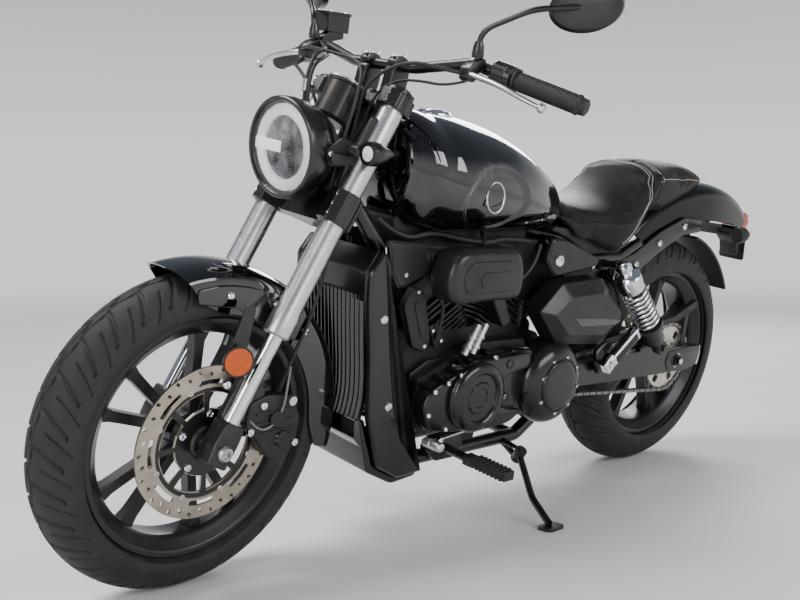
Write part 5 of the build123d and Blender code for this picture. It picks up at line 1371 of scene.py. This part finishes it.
sensor_wire = [(1262, 88, 428), (1276, 101, 400), (1282, 103, 350), (1310, 103, 318), (1338, 100, 322),
    (1352, 96, 340)]
routes = ((brake_hose, 3.5), (clutch_cable, 3.5), (throttle_cable, 3.5), (lamp_loop, 4.2),
    (second_loop, 3.6), (bar_wire, 2.6))
cables = join(*[tube(cable_path(route), radius, 12, raw=True) for route, radius in routes])
build("hoses_and_cables", cables, soft_rubber, "steering", ("control_cables",), crease=80)
wire_grey = finish("wire_grey", (0.16, 0.155, 0.15), (0.22, 0.215, 0.21), 0.4, 0.5, grain=80)
build("sensor_wire", tube(cable_path(sensor_wire), 2.0, 10, raw=True), wire_grey, "steering")
loop_line = cable_path(lamp_loop)
clip = tube([loop_line[6], loop_line[9]], 7, 14, 3)
build("cable_clip", clip, alloy, "steering")
print("cables:", len(routes) + 1)

# %% [markdown]
# A brake disc is a bare steel ring on a black carrier. The CAD disc keeps one finish, so the
# carrier gets a thin dark cover: two turned rings and short sectors that leave windows.

# %% Disc carriers
WINDOW_ARC, RIM_BAND, HUB_BAND = 300.0, 11, 28


def wheel_plate(radius_in, radius_out, windows, phase, y0, y1, centre):
    """Two rings joined by sectors, one after each window, all at equal steps of 360 / n degrees."""
    parts = []
    inner_r, outer_r = radius_in + HUB_BAND, radius_out - RIM_BAND
    for r0, r1 in ((radius_in, inner_r), (outer_r, radius_out)):
        parts.append(ring([(y0, r0), (y0, r1), (y1, r1), (y1, r0)], centre, LEFT, 96))
    gap = WINDOW_ARC / windows
    share = 360.0 / windows
    for k in range(windows):
        a = np.radians(phase + gap / 2 + k * share + np.linspace(0, share - gap, 4))
        r = np.array([inner_r - 1, outer_r + 1])
        x = centre[0] + r[:, None] * np.cos(a)
        z = centre[2] + r[:, None] * np.sin(a)
        outline = np.concatenate([np.stack([x[0], z[0]], 1), np.stack([x[1], z[1]], 1)[::-1]])
        rows = [np.insert(outline, 1, centre[1] + y, axis=1) for y in (y0, y1)]
        parts.append(skin(np.array(rows)))
    return join(*parts)


front_carrier = wheel_plate(34, 107, 8, 20, 60.6, 62.6, FRONT_AXLE)
hub_cap = lathe([(56, 11), (56, 33), (60, 33), (66, 28), (68, 18), (68, 11)], FRONT_AXLE, LEFT, 48)
knurl = ring([(56, 33), (56, 46), (60, 46), (62, 44), (62, 33)], FRONT_AXLE, LEFT, 48)
build("front_carrier", join(front_carrier, knurl), satin_black, "front_wheel",
    crease=20)
build("front_hub_ring", hub_cap, lug_black, "front_wheel")
print("carrier faces:", len(front_carrier[1]))

# %% Disc bolts, rivets and valve
FIVE_BOLTS, EIGHT_RIVETS = np.radians(np.arange(22, 360, 72)), np.radians(np.arange(22.5, 360, 45))


def round_axle(axle, radius, y, angles):
    """Places on a circle about an axle: (x + r cos a, y, z + r sin a)."""
    return [axle + (radius * np.cos(a), y, radius * np.sin(a)) for a in angles]


build("front_disc_bolts", bolts(round_axle(FRONT_AXLE, 54, 62, FIVE_BOLTS), LEFT, 7.5, 5), chrome,
    "front_wheel")
build("front_disc_rivets", bolts(round_axle(FRONT_AXLE, 105, 62.2, EIGHT_RIVETS), LEFT, 5.5, 2.4,
    steps=12), silver, "front_wheel")
rear_carrier = wheel_plate(20, 83, 6, 10, -91.3, -89.3, REAR_AXLE)
build("rear_carrier", rear_carrier, satin_black, "rear_wheel", crease=20)
build("rear_disc_bolts", bolts(round_axle(REAR_AXLE, 36, -91, FIVE_BOLTS), (0, -1, 0), 6.5, 4), chrome,
    "rear_wheel")
build("sprocket_bolts", bolts(round_axle(REAR_AXLE, 36, 88, FIVE_BOLTS), LEFT, 7, 5), chrome, "rear_wheel")
valve_ends = [FRONT_AXLE + (r * np.cos(2.0), 0, r * np.sin(2.0)) for r in (192, 170)]
build("front_valve", tube(valve_ends, 3.5, 10, 3), silver, "front_wheel")
print("wheel pieces done")

# %% [markdown]
# The drive chain is figure-eight plates joined by rollers. Its solid is a plain band, so each link
# is a low outline drawn here, and one array holds them at equal steps along the loop.

# %% The loop of the chain
CHAIN_Y, GEARBOX_OUT, CHAIN_PITCH, LINKS = 86.0, np.array([548.0, 0, 303.0]), 12.7, 108
REAR_TEETH, FRONT_TEETH = 45, 15
big_r = CHAIN_PITCH / (2 * np.sin(np.pi / REAR_TEETH))
small_r = CHAIN_PITCH / (2 * np.sin(np.pi / FRONT_TEETH))


def chain_loop(count):
    """Places and headings along two arcs and the two tangents between the chain wheels."""
    run = GEARBOX_OUT - REAR_AXLE
    span = np.hypot(run[0], run[2])
    base = np.arctan2(run[2], run[0])
    lean = np.arcsin((big_r - small_r) / span)
    up, down = base + np.pi / 2 - lean, base - np.pi / 2 + lean
    small = np.linspace(up, down, 60)
    big = np.linspace(down, up - 2 * np.pi, 160)
    points = np.concatenate([GEARBOX_OUT[[0, 2]] + small_r * np.stack([np.cos(small), np.sin(small)], 1),
        REAR_AXLE[[0, 2]] + big_r * np.stack([np.cos(big), np.sin(big)], 1)])
    points = np.concatenate([points, points[:1]])
    far = np.concatenate([[0], np.cumsum(np.linalg.norm(np.diff(points, axis=0), axis=1))])
    at = np.linspace(0, far[-1], count, endpoint=False)
    x, z = np.interp(at, far, points[:, 0]), np.interp(at, far, points[:, 1])
    ahead_at = (at + 1) % far[-1]
    dx = np.interp(ahead_at, far, points[:, 0]) - x
    dz = np.interp(ahead_at, far, points[:, 1]) - z
    return x, z, np.arctan2(dz, dx)


x, z, heading = chain_loop(LINKS)
print("loop radii:", round(big_r, 1), round(small_r, 1))

# %% Chain links
link_outline = np.array([(-10, -3.4), (-6, -4.8), (-2, -3), (2, -3), (6, -4.8), (10, -3.4), (10, 3.4),
    (6, 4.8), (2, 3), (-2, 3), (-6, 4.8), (-10, 3.4)])
side_plates = [skin(np.array([np.insert(link_outline, 1, y, axis=1) for y in ends]))
    for ends in ((-7.2, -5.4), (5.4, 7.2), (-5.2, -3.6), (3.6, 5.2))]
outer_link, inner_link = join(*side_plates[:2]), join(*side_plates[2:])
roller = lathe([(-5.4, 0.1), (-5.4, 4.1), (5.4, 4.1), (5.4, 0.1)], (-CHAIN_PITCH / 2, 0, 0), LEFT, 8)
turns = np.zeros((LINKS, 3, 3))
turns[:, 0, 0], turns[:, 0, 2] = np.cos(heading), -np.sin(heading)
turns[:, 1, 1] = 1
turns[:, 2, 0], turns[:, 2, 2] = np.sin(heading), np.cos(heading)
places = np.stack([x, np.full(LINKS, CHAIN_Y), z], 1)
chain = join(copies(join(outer_link, roller), turns[::2], places[::2]), copies(join(inner_link, roller),
    turns[1::2], places[1::2]))
build("chain_links", chain, chain_steel, "chassis", ("drive_chain",), crease=30)
print("links:", LINKS)

# %% [markdown]
# Cast wheels are bands and spokes with generous radii. The band is a turned ring; a spoke is a row
# of rectangles that widen towards the band. Five pairs stand 72 degrees apart.

# %% A spoke
FOOT_SPREAD, TIP_SPREAD = 9, 13


def spoke(axle, middle, side, hub_r, outer_r, half_y):
    """Rectangles along a line from the hub to the band: p(t) = a + t (b - a), wider at its tip.

    a and b lie at a small angle either side of the pair's middle, a little more at the tip.
    """
    foot, tip = np.radians(middle + side * FOOT_SPREAD), np.radians(middle + side * TIP_SPREAD)
    a = np.array([np.cos(foot), np.sin(foot)]) * (hub_r - 8)
    b = np.array([np.cos(tip), np.sin(tip)]) * outer_r
    along = (b - a) / np.linalg.norm(b - a)
    square = np.array([-along[1], along[0]])
    t = np.linspace(0, 1, 9)[:, None]
    width = 8.5 + 1.5 * t + 5.0 * np.clip((t - 0.82) / 0.18, 0, 1) ** 2
    depth = half_y * (1 + 0.3 * np.clip((0.2 - t) / 0.2, 0, 1))
    line = a + t * (b - a)
    rows = [np.stack([axle[0] + line[:, 0] + s * width[:, 0] * square[0], axle[1] + v * depth[:, 0],
        axle[2] + line[:, 1] + s * width[:, 0] * square[1]], 1) for s, v in ((-1, -1), (1, -1), (1, 1),
        (-1, 1))]
    return skin(np.stack(rows, 1))


print("spoke faces:", len(spoke(FRONT_AXLE, 0, 1, 34, 193, 33)[1]))

# %% Cast wheels
PAIRS = 5


def cast_wheel(name, axle, r, w, hub, half_y, phase, body):
    """Band with a drop centre, a barrel round the axle, and pairs of spokes at equal angles.

    The band's profile is (distance from the middle plane, radius), with r the rim's radius and w
    half its width.
    """
    profile = [(-w, r), (-w + 4, r), (-w + 5, r - 11), (-w + 18, r - 15), (-w + 26, r - 25),
        (w - 26, r - 25), (w - 18, r - 15), (w - 5, r - 11), (w - 4, r), (w, r), (w + 0.5, r - 4),
        (w - 1, r - 12), (w - 10, r - 20), (w - 17, r - 27), (w - 24, r - 34), (w - 28, r - 35),
        (-w + 28, r - 35), (-w + 24, r - 34), (-w + 17, r - 27), (-w + 10, r - 20), (-w + 1, r - 12),
        (-w - 0.5, r - 4)]
    left, right, hub_r = hub
    band = ring(profile, axle, LEFT, 128)
    barrel = ring([(left, 10.1), (left, hub_r - 4), (left + 4, hub_r), (-24, hub_r), (-14, hub_r + 8),
        (14, hub_r + 8), (24, hub_r), (right - 4, hub_r), (right, hub_r - 4), (right, 10.1)], axle, LEFT,
        64)
    spokes = [spoke(axle, phase + k * 360 / PAIRS, side, hub_r, r - 33,
        half_y) for k in range(PAIRS) for side in (-1, 1)]
    return build(name, join(band, barrel, *spokes), gloss_rim, body, (f"{body[:-6]}_rim",), bevel=2.0,
        crease=35)


gloss_rim = finish("gloss_rim", (0.004, 0.004, 0.0043), (0.007, 0.007, 0.0072), 0.36, 0.46, coat=0.12,
    grain=20)
cast_wheel("front_cast_wheel", FRONT_AXLE, 226.0, 46.0, (-44, 56, 34), 13, 33, "front_wheel")
cast_wheel("rear_cast_wheel", REAR_AXLE, 229.0, 56.0, (-80, 83.2, 40), 15, 18, "rear_wheel")
print("pairs of spokes in each wheel:", PAIRS)

# %% [markdown]
# Mudguards are one smooth section that follows a circle. The rear one narrows to a rounded tail,
# so its half width and depth are functions of the angle.

# %% Section of a mudguard
ARCH_STEPS, GUARD_STEPS = 33, 60


def guard_shell(centre, radius, first, last, half, depth, crown, wall, rake=0.0):
    """Closed section at each angle: an outer arch with straight sides and the same arch inset.

    The front edge is raked: its angle grows with the share of the depth, fading over the length.
    """
    theta = np.radians(np.linspace(first, last, GUARD_STEPS))[:, None]
    h, d = half(np.degrees(theta)), depth(np.degrees(theta))
    a = np.linspace(-np.pi / 2, np.pi / 2, ARCH_STEPS)[None, :]
    arch_y = np.sign(np.sin(a)) * np.abs(np.sin(a)) ** 0.8
    arch_r = crown * (1 - np.cos(a) ** 0.85)
    outer_y = np.concatenate([-h, h * arch_y, h], 1)
    outer_r = np.concatenate([radius - d, radius - arch_r + 0 * h, radius - d], 1)
    inner_y = outer_y[:, ::-1] * (1 - wall / h)
    inner_r = outer_r[:, ::-1] - wall
    inner_r[:, [0, -1]] = radius - d
    y, r = np.concatenate([outer_y, inner_y], 1), np.concatenate([outer_r, inner_r], 1)
    fade = np.linspace(1, 0, GUARD_STEPS)[:, None] ** 3
    theta = theta + np.radians(rake) * fade * (radius - r) / np.max(d)
    return skin(np.stack([centre[0] + r * np.cos(theta), y, centre[1] + r * np.sin(theta)], -1))


print("points round a section:", 2 * (ARCH_STEPS + 2))

# %% Rear mudguard


def tail_half(angle):
    """Half width: 91.8 mm, falling past 90 degrees with the power 1.7 of the angle."""
    return 91.8 - 38 * np.clip((angle - 90) / 31.5, 0, 1) ** 1.7


def tail_depth(angle):
    """Depth of the sides: 98 mm, falling past 96 degrees with the power 1.5 of the angle."""
    return 98 - 40 * np.clip((angle - 96) / 25.5, 0, 1) ** 1.5


rear_shell = guard_shell((-84, 218), 560, 54, 121.5, tail_half, tail_depth, 38.0, 4.0)
inner_theta = np.radians(np.linspace(106, 150, 24))[:, None]
corner_r, corner_y = np.array([[329, 335.5, 335.5, 329]]), np.array([[-70, -70, 70, 70]])
inner_guard = skin(np.stack([REAR_AXLE[0] + corner_r * np.cos(inner_theta), corner_y + 0 * inner_theta,
    REAR_AXLE[2] + corner_r * np.sin(inner_theta)], -1))
rib = block((-108, 0, 700), (46, 48, 150))
guard_black = finish("guard_black", (0.0022, 0.0022, 0.0024), (0.0034, 0.0034, 0.0036), 0.2, 0.28,
    coat=0.15, grain=14, Specular_IOR_Level=0.22)
build("rear_mudguard", rear_shell, guard_black, "chassis", ("rear_fender",), crease=40)
build("inner_mudguard", join(inner_guard, rib), soft_rubber, "chassis")
print("inner guard spans", 150 - 106, "degrees")

# %% Front mudguard and struts


def front_half(angle):
    """Half width: 66 mm all round."""
    return 66.0 + 0 * angle


def front_depth(angle):
    """Depth of the sides: 86 mm, less by the square of the angle near both ends."""
    return (86.0 - 26 * np.clip((90 - angle) / 14, 0, 1) ** 2 - 30
        * np.clip((angle - 176) / 16, 0, 1) ** 2)


front_shell = guard_shell((FRONT_AXLE[0], FRONT_AXLE[2]), 322, 76, 192, front_half, front_depth, 34.0, 3.0,
    rake=9.0)
stay_outline = [(1330, 574), (1300, 566), (1236, 540), (1214, 500), (1236, 470), (1262, 476), (1300, 520)]
stay_part = plate(stay_outline, 66.5, 74, 8, 2)
build("front_mudguard", join(front_shell, mirrored(stay_part)), gloss_black, "steering", ("front_fender",),
    crease=40)
strut_places = [(37, 102, 669), (140, 102, 628), (230, 102, 577)]
build("strut_bolts", mirrored(bolts(strut_places, LEFT, 9, 6)), chrome, "chassis")
strut_outline = [(318, 552), (215, 556), (130, 603), (35, 645), (-52, 652), (-52, 684), (35, 692),
    (140, 656), (236, 606), (318, 584)]
strut = plate(strut_outline, 92.3, 102, 10, 3)
build("strut_plates", mirrored(strut), satin_black, "chassis", ("fender_struts",), crease=35)
print("strut screws on each side:", len(strut_places))

# %% [markdown]
# Under tank and seats a machine is packed with dark boxes and wires. The photograph doesn't show
# their form, so plain dark plates and two hoses fill the space and stop the daylight.

# %% Trays that close the view under tank and seat
tray = plate([(1010, 690), (1002, 632), (960, 618), (640, 598), (600, 620), (600, 664), (1000, 700)], -52,
    52, 8, 4)
pan = plate([(556, 664), (500, 648), (440, 618), (380, 586), (320, 572), (262, 578), (262, 606),
    (316, 640), (440, 664), (548, 676)], -90, 90, 8, 4)
battery_box = plate([(700, 640), (560, 640), (440, 630), (345, 600), (335, 540), (385, 496), (640, 500),
    (700, 560)], -58, 58, 10, 4)
build("under_trays", join(tray, pan, battery_box), matte_black, "chassis")
harness = tube(cable_path([(1040, 40, 690), (1000, 70, 650), (920, 74, 668), (840, 66, 650),
    (760, 78, 640), (690, 70, 650), (620, 80, 640)]), 7, 12, raw=True)
fuel_hose = tube(cable_path([(760, 60, 664), (770, 90, 640), (800, 92, 610), (830, 80, 570),
    (800, 70, 540)]), 5, 12, raw=True)
build("wiring_and_hoses", join(harness, fuel_hose), soft_rubber, "chassis")
print("tray faces:", sum(len(part[1]) for part in (tray, pan, battery_box)))

# %% [markdown]
# Each stitch is a tiny rounded rod, laid along a line drawn above the seam and dropped on the
# nearest point of the cushion, so it follows every bulge.

# %% Points dropped on a cushion
thread = finish("thread", (0.5, 0.49, 0.46), (0.62, 0.61, 0.58), 0.6, 0.75, grain=300)
SEAM_POINTS = 160


def dropped(route, cushion_obj, count, lift):
    """Even points along a route, each moved to the closest point of a cushion and lifted off it.

    Between two drops the line is averaged over its neighbours, which irons out small jumps.
    """
    line = placed(spline(route, count))
    for window in (15, 9, 1):
        hits = [cushion_obj.closest_point_on_mesh(Vector(p)) for p in line]
        points = np.array([h[1] for h in hits])
        padded = np.pad(points, ((window // 2, window // 2), (0, 0)), "reflect", reflect_type="odd")
        line = np.stack([np.convolve(padded[:, k], np.full(window, 1 / window),
            "valid") for k in range(3)], 1)
    normals = np.array([h[2] for h in hits])
    return (points * 1000 - shift) @ tilt + (normals @ tilt) * lift


print("thread:", thread.name)

# %% Stitches along a line
STITCH_PITCH, STITCH_RADIUS, STITCH_SHARE = 7.0, 0.75, 0.62


def stitched(route, cushion_obj):
    """Short rods along a dropped line, one per pitch, each as long as a share of the pitch."""
    path = dropped(route, cushion_obj, SEAM_POINTS, STITCH_RADIUS * 0.6)
    far = np.concatenate([[0], np.cumsum(np.linalg.norm(np.diff(path, axis=0), axis=1))])
    starts = np.arange(0, far[-1] - STITCH_PITCH, STITCH_PITCH)
    begins, ends = (np.stack([np.interp(s, far, path[:, k]) for k in range(3)], -1) for s in (starts,
        starts + STITCH_PITCH * STITCH_SHARE))
    run = ends - begins
    size = np.linalg.norm(run, axis=1)
    a = run / size[:, None]
    helper = np.where(np.abs(a[:, :1]) < 0.8, (1.0, 0, 0), (0, 1.0, 0))
    u = np.cross(a, helper)
    u /= np.linalg.norm(u, axis=1, keepdims=True)
    turns = np.stack([a * size[:, None], u, np.cross(a, u)], -1)
    rod = lathe([(-0.08, 0.1), (0.05, STITCH_RADIUS), (0.95, STITCH_RADIUS), (1.08, 0.1)], (0, 0, 0),
        (1, 0, 0), 6)
    return copies(rod, turns, begins)


print("stitch length:", STITCH_PITCH * STITCH_SHARE)

# %% Seams of both seats
rear_seam = np.array([(188, 0, 832), (194, 60, 826), (214, 104, 806), (236, 136, 768), (262, 146, 716),
    (300, 150, 664), (338, 148, 624)], float)
seams = [stitched((rear_seam + offset) * (1, side, 1), rider_cushion) for side in (1, -1)
    for offset in ((0, 0, 0), (9, 0, -1))]
build("rider_stitches", join(*seams), thread, "chassis")
pillion_lines = []
for side in (-1, 1):
    for offset in (0, 8):
        pillion_lines.append([(162 - offset, 0, 830), (166 - offset, side * 56, 824),
            (176 - offset, side * 98, 806), (186 - offset, side * 118, 780)])
    pillion_lines.append([(176, side * 112, 790), (100, side * 104, 792), (20, side * 92, 790),
        (-60, side * 72, 782)])
build("pillion_stitches", join(*[stitched(route, pillion_cushion) for route in pillion_lines]), thread,
    "chassis")
piping = [tube(dropped((rear_seam - (8, 0, 0)) * (1, side, 1), rider_cushion, 80, 0.5), 2.2, 10,
    raw=True) for side in (-1, 1)]
build("seat_piping", join(*piping), vinyl, "chassis")

# %% [markdown]
# On the right both pipes run into one long silencer, as runs joined by arcs. The photograph shows
# the other side, so this is the form that such machines usually have.

# %% Paths as a bender makes them
BEND_STEPS = 9


def bent(points, radius):
    """Path of straight runs whose corners are quadratic arcs cut back by a radius."""
    p = np.asarray(points, float)
    path = [p[:1]]
    for before, corner, after in zip(p[:-2], p[1:-1], p[2:]):
        a, b = before - corner, after - corner
        back = min(radius, 0.45 * np.linalg.norm(a), 0.45 * np.linalg.norm(b))
        start = corner + a / np.linalg.norm(a) * back
        end = corner + b / np.linalg.norm(b) * back
        t = np.linspace(0, 1, BEND_STEPS)[:, None]
        path.append((1 - t) ** 2 * start + 2 * t * (1 - t) * corner + t ** 2 * end)
    return np.concatenate(path + [p[-1:]])


print("steps in a bend:", BEND_STEPS)

# %% Exhaust
SILENCER, SILENCER_BACK = (440, -188, 246), (-1, 0, 0.04)
pipe_black = finish("pipe_black", (0.008, 0.008, 0.008), (0.014, 0.013, 0.013), 0.34, 0.48, metal=0.2,
    grain=40, bump=0.15, bump_size=1800)
front_pipe = [(918, -30, 490), (962, -56, 464), (966, -120, 400), (944, -182, 300), (880, -186, 252),
    (430, -186, 246)]
rear_pipe = [(600, -40, 490), (548, -70, 446), (548, -134, 372), (556, -186, 290), (500, -188, 254)]
silencer = lathe([(0, 0.1), (0, 22), (6, 28), (34, 45), (44, 46.5), (492, 46.5), (504, 45), (540, 38),
    (544, 35), (544, 29), (500, 27), (480, 27), (480, 0.1)], SILENCER, SILENCER_BACK, 64)
flanges = [lathe([(0, 0.1), (0, 24), (8, 24), (8, 0.1)], place, along, 28) for place,
    along in (((916, -29, 491), (44, -26, -26)), ((602, -39, 491), (-52, -30, -44)))]
build("exhaust_pipes", join(tube(bent(front_pipe, 34), 16, 20, raw=True), tube(bent(rear_pipe, 30), 16, 20,
    raw=True), silencer, *flanges), pipe_black, "chassis", ("exhaust",), crease=40)
print("pipes:", 2, "silencer length:", 544)

# %% Bands, shield and screws of the right side
bands = [ring([(a, 46.4), (a, 48.2), (a + 14, 48.2), (a + 14, 46.4)], SILENCER, SILENCER_BACK,
    64) for a in (52, 250, 470)]
shield = plate([(900, 268), (880, 282), (470, 276), (456, 262), (470, 250), (880, 256)], -206, -202, 10,
    1.5)
hanger = plate([(250, 262), (270, 300), (300, 330), (330, 336), (340, 320), (300, 290), (280, 262)], -144,
    -136, 5, 2)
hanger_pin = tube([(262, -190, 292), (268, -140, 292)], 7, 14, 3)
build("exhaust_trim", join(*bands, shield, hanger, hanger_pin), satin_black, "chassis",
    crease=35)
screws = bolts([(860, -206, 268), (690, -206, 268), (520, -206, 266)], (0, -1, 0), 5, 3)
cover_points = ((900, 305), (880, 266), (655, 262), (602, 306), (620, 398), (700, 426), (870, 426),
    (906, 394))
cover_screws = bolts([(x, -147, z) for x, z in cover_points], (0, -1, 0), 5.5, 4)
build("right_side_screws", join(screws, cover_screws), chrome, "chassis")
print("right side screws:", 3 + len(cover_points))

# %% [markdown]
# A mirror is an oval bowl with its glass inside the rim, on a bent stem. The oval is a circle's
# grid stretched both ways, and a power of the radius gives the bowl its bulge.

# %% Mirrors
stem = tube(bent([(1022, 225, 1000), (1026, 228, 1066), (984, 304, 1112), (924, 364, 1127)], 26), 5.5, 14,
    raw=True)
boot = lathe([(0, 0.1), (0, 10.5), (6, 11.5), (20, 10), (30, 7), (30, 0.1)], (1022, 225, 1018),
    (0.05, 0.03, 1), 24)
radial, turn = np.meshgrid(np.linspace(0.02, 1, 12), np.linspace(0, 2 * np.pi, 48, endpoint=False),
    indexing="ij")
TOE_IN, NOD, TIP = np.radians([20, 8, 12])
mirror_turn = spin((0, 0, 1), TOE_IN) @ spin((0, 1, 0), NOD) @ spin((1, 0, 0), TIP)
mirror_place = np.array((918.0, 366, 1126))
bulge = np.sqrt(np.clip(1 - radial ** 2.4, 0, 1))


def mirror_grid(x, wide=67.0, high=43.0):
    """Oval sheet: y = a r cos u, z = b r sin u, at depth x(r, u)."""
    return np.stack([x, wide * radial * np.cos(turn), high * radial * np.sin(turn)], -1)


def hung(part):
    """A mirror's part turned and moved to its place: p = T p + m."""
    return part[0] @ mirror_turn.T + mirror_place, part[1]


edge_rows = [mirror_grid(np.full_like(radial, x), wide, high)[-1] for x, wide, high in ((-13.0, 66, 42),
    (-14.5, 62, 38), (-11.0, 60, 36))]
floor_row = mirror_grid(np.full_like(radial, -11.0))[0]
back = skin(np.concatenate([mirror_grid(2 + 9 * bulge), np.stack([*edge_rows, floor_row])]))
glass_face = skin(np.stack([mirror_grid(np.full_like(radial, x), 60.5, 36.5)[-1] for x in (-15.0, -12.5)]))
build("mirror_heads", mirrored(join(hung(back), stem, boot)), satin_black, "steering", ("mirrors",),
    crease=40)
build("mirror_faces", mirrored(hung(glass_face)), mirror_face, "steering", ("mirror_glass",), crease=30)
print("mirror grid:", radial.shape)

# %% [markdown]
# The filler cap is turned and stands square to the tank's slope. The tail lamp is a plate whose
# wide rounded rims make it a lens.

# %% Filler cap and tail lamp
cap_profile = [(-4, 0.1), (-4, 37), (1, 38), (4, 37), (7, 33), (9, 31), (9, 22), (11, 20), (12, 8),
    (12, 0.1)]
build("tank_cap", lathe(cap_profile, (880, 0, 897), (-0.06, 0, 1), 56), chrome, "chassis", ("filler_cap",),
    crease=30)
lamp_outline = [(-366, 694), (-398, 687), (-405, 664), (-397, 646), (-372, 650)]
build("tail_lens", plate(lamp_outline, -44, 44, 6, 5), red_lens, "chassis", ("tail_lamp",), crease=40)
print("tail lamp outline:", len(lamp_outline), "points")

# %% [markdown]
# The number plate's holder is a flat board on an arm with two slots for straps, and carries no
# plate. It is drawn from the side like every plate, then turned to face back.

# %% Plate holder, left without a plate
HOLDER_TOP, HOLDER_X, HOLDER_LEAN = 640, -404, 0.12
bare_plate = plate([(-40, 548), (-40, HOLDER_TOP), (40, HOLDER_TOP), (40, 548)], 0, 3.5, 9, 1)
slots = join(*[block((0, 4.2, z), (46, 1.6, 3.2)) for z in (566, 576)])


def facing_back(part):
    """Turn a drawing in x and z to face the rear: (x, y, z) becomes (place - y + lean, x, z)."""
    v = part[0]
    leaning = (v[:, 2] - HOLDER_TOP) * HOLDER_LEAN
    return np.stack([HOLDER_X - v[:, 1] + leaning, v[:, 0], v[:, 2]], 1), part[1]


arm = plate([(-372, 649), (-401, 645), (-412, 570), (-396, 560), (-380, 600), (-352, 620)], -28, 28, 6, 3)
build("plate_carrier", join(facing_back(bare_plate), arm), matte_black, "chassis", ("plate_holder",),
    crease=35)
build("plate_slots", facing_back(slots), silver, "chassis")
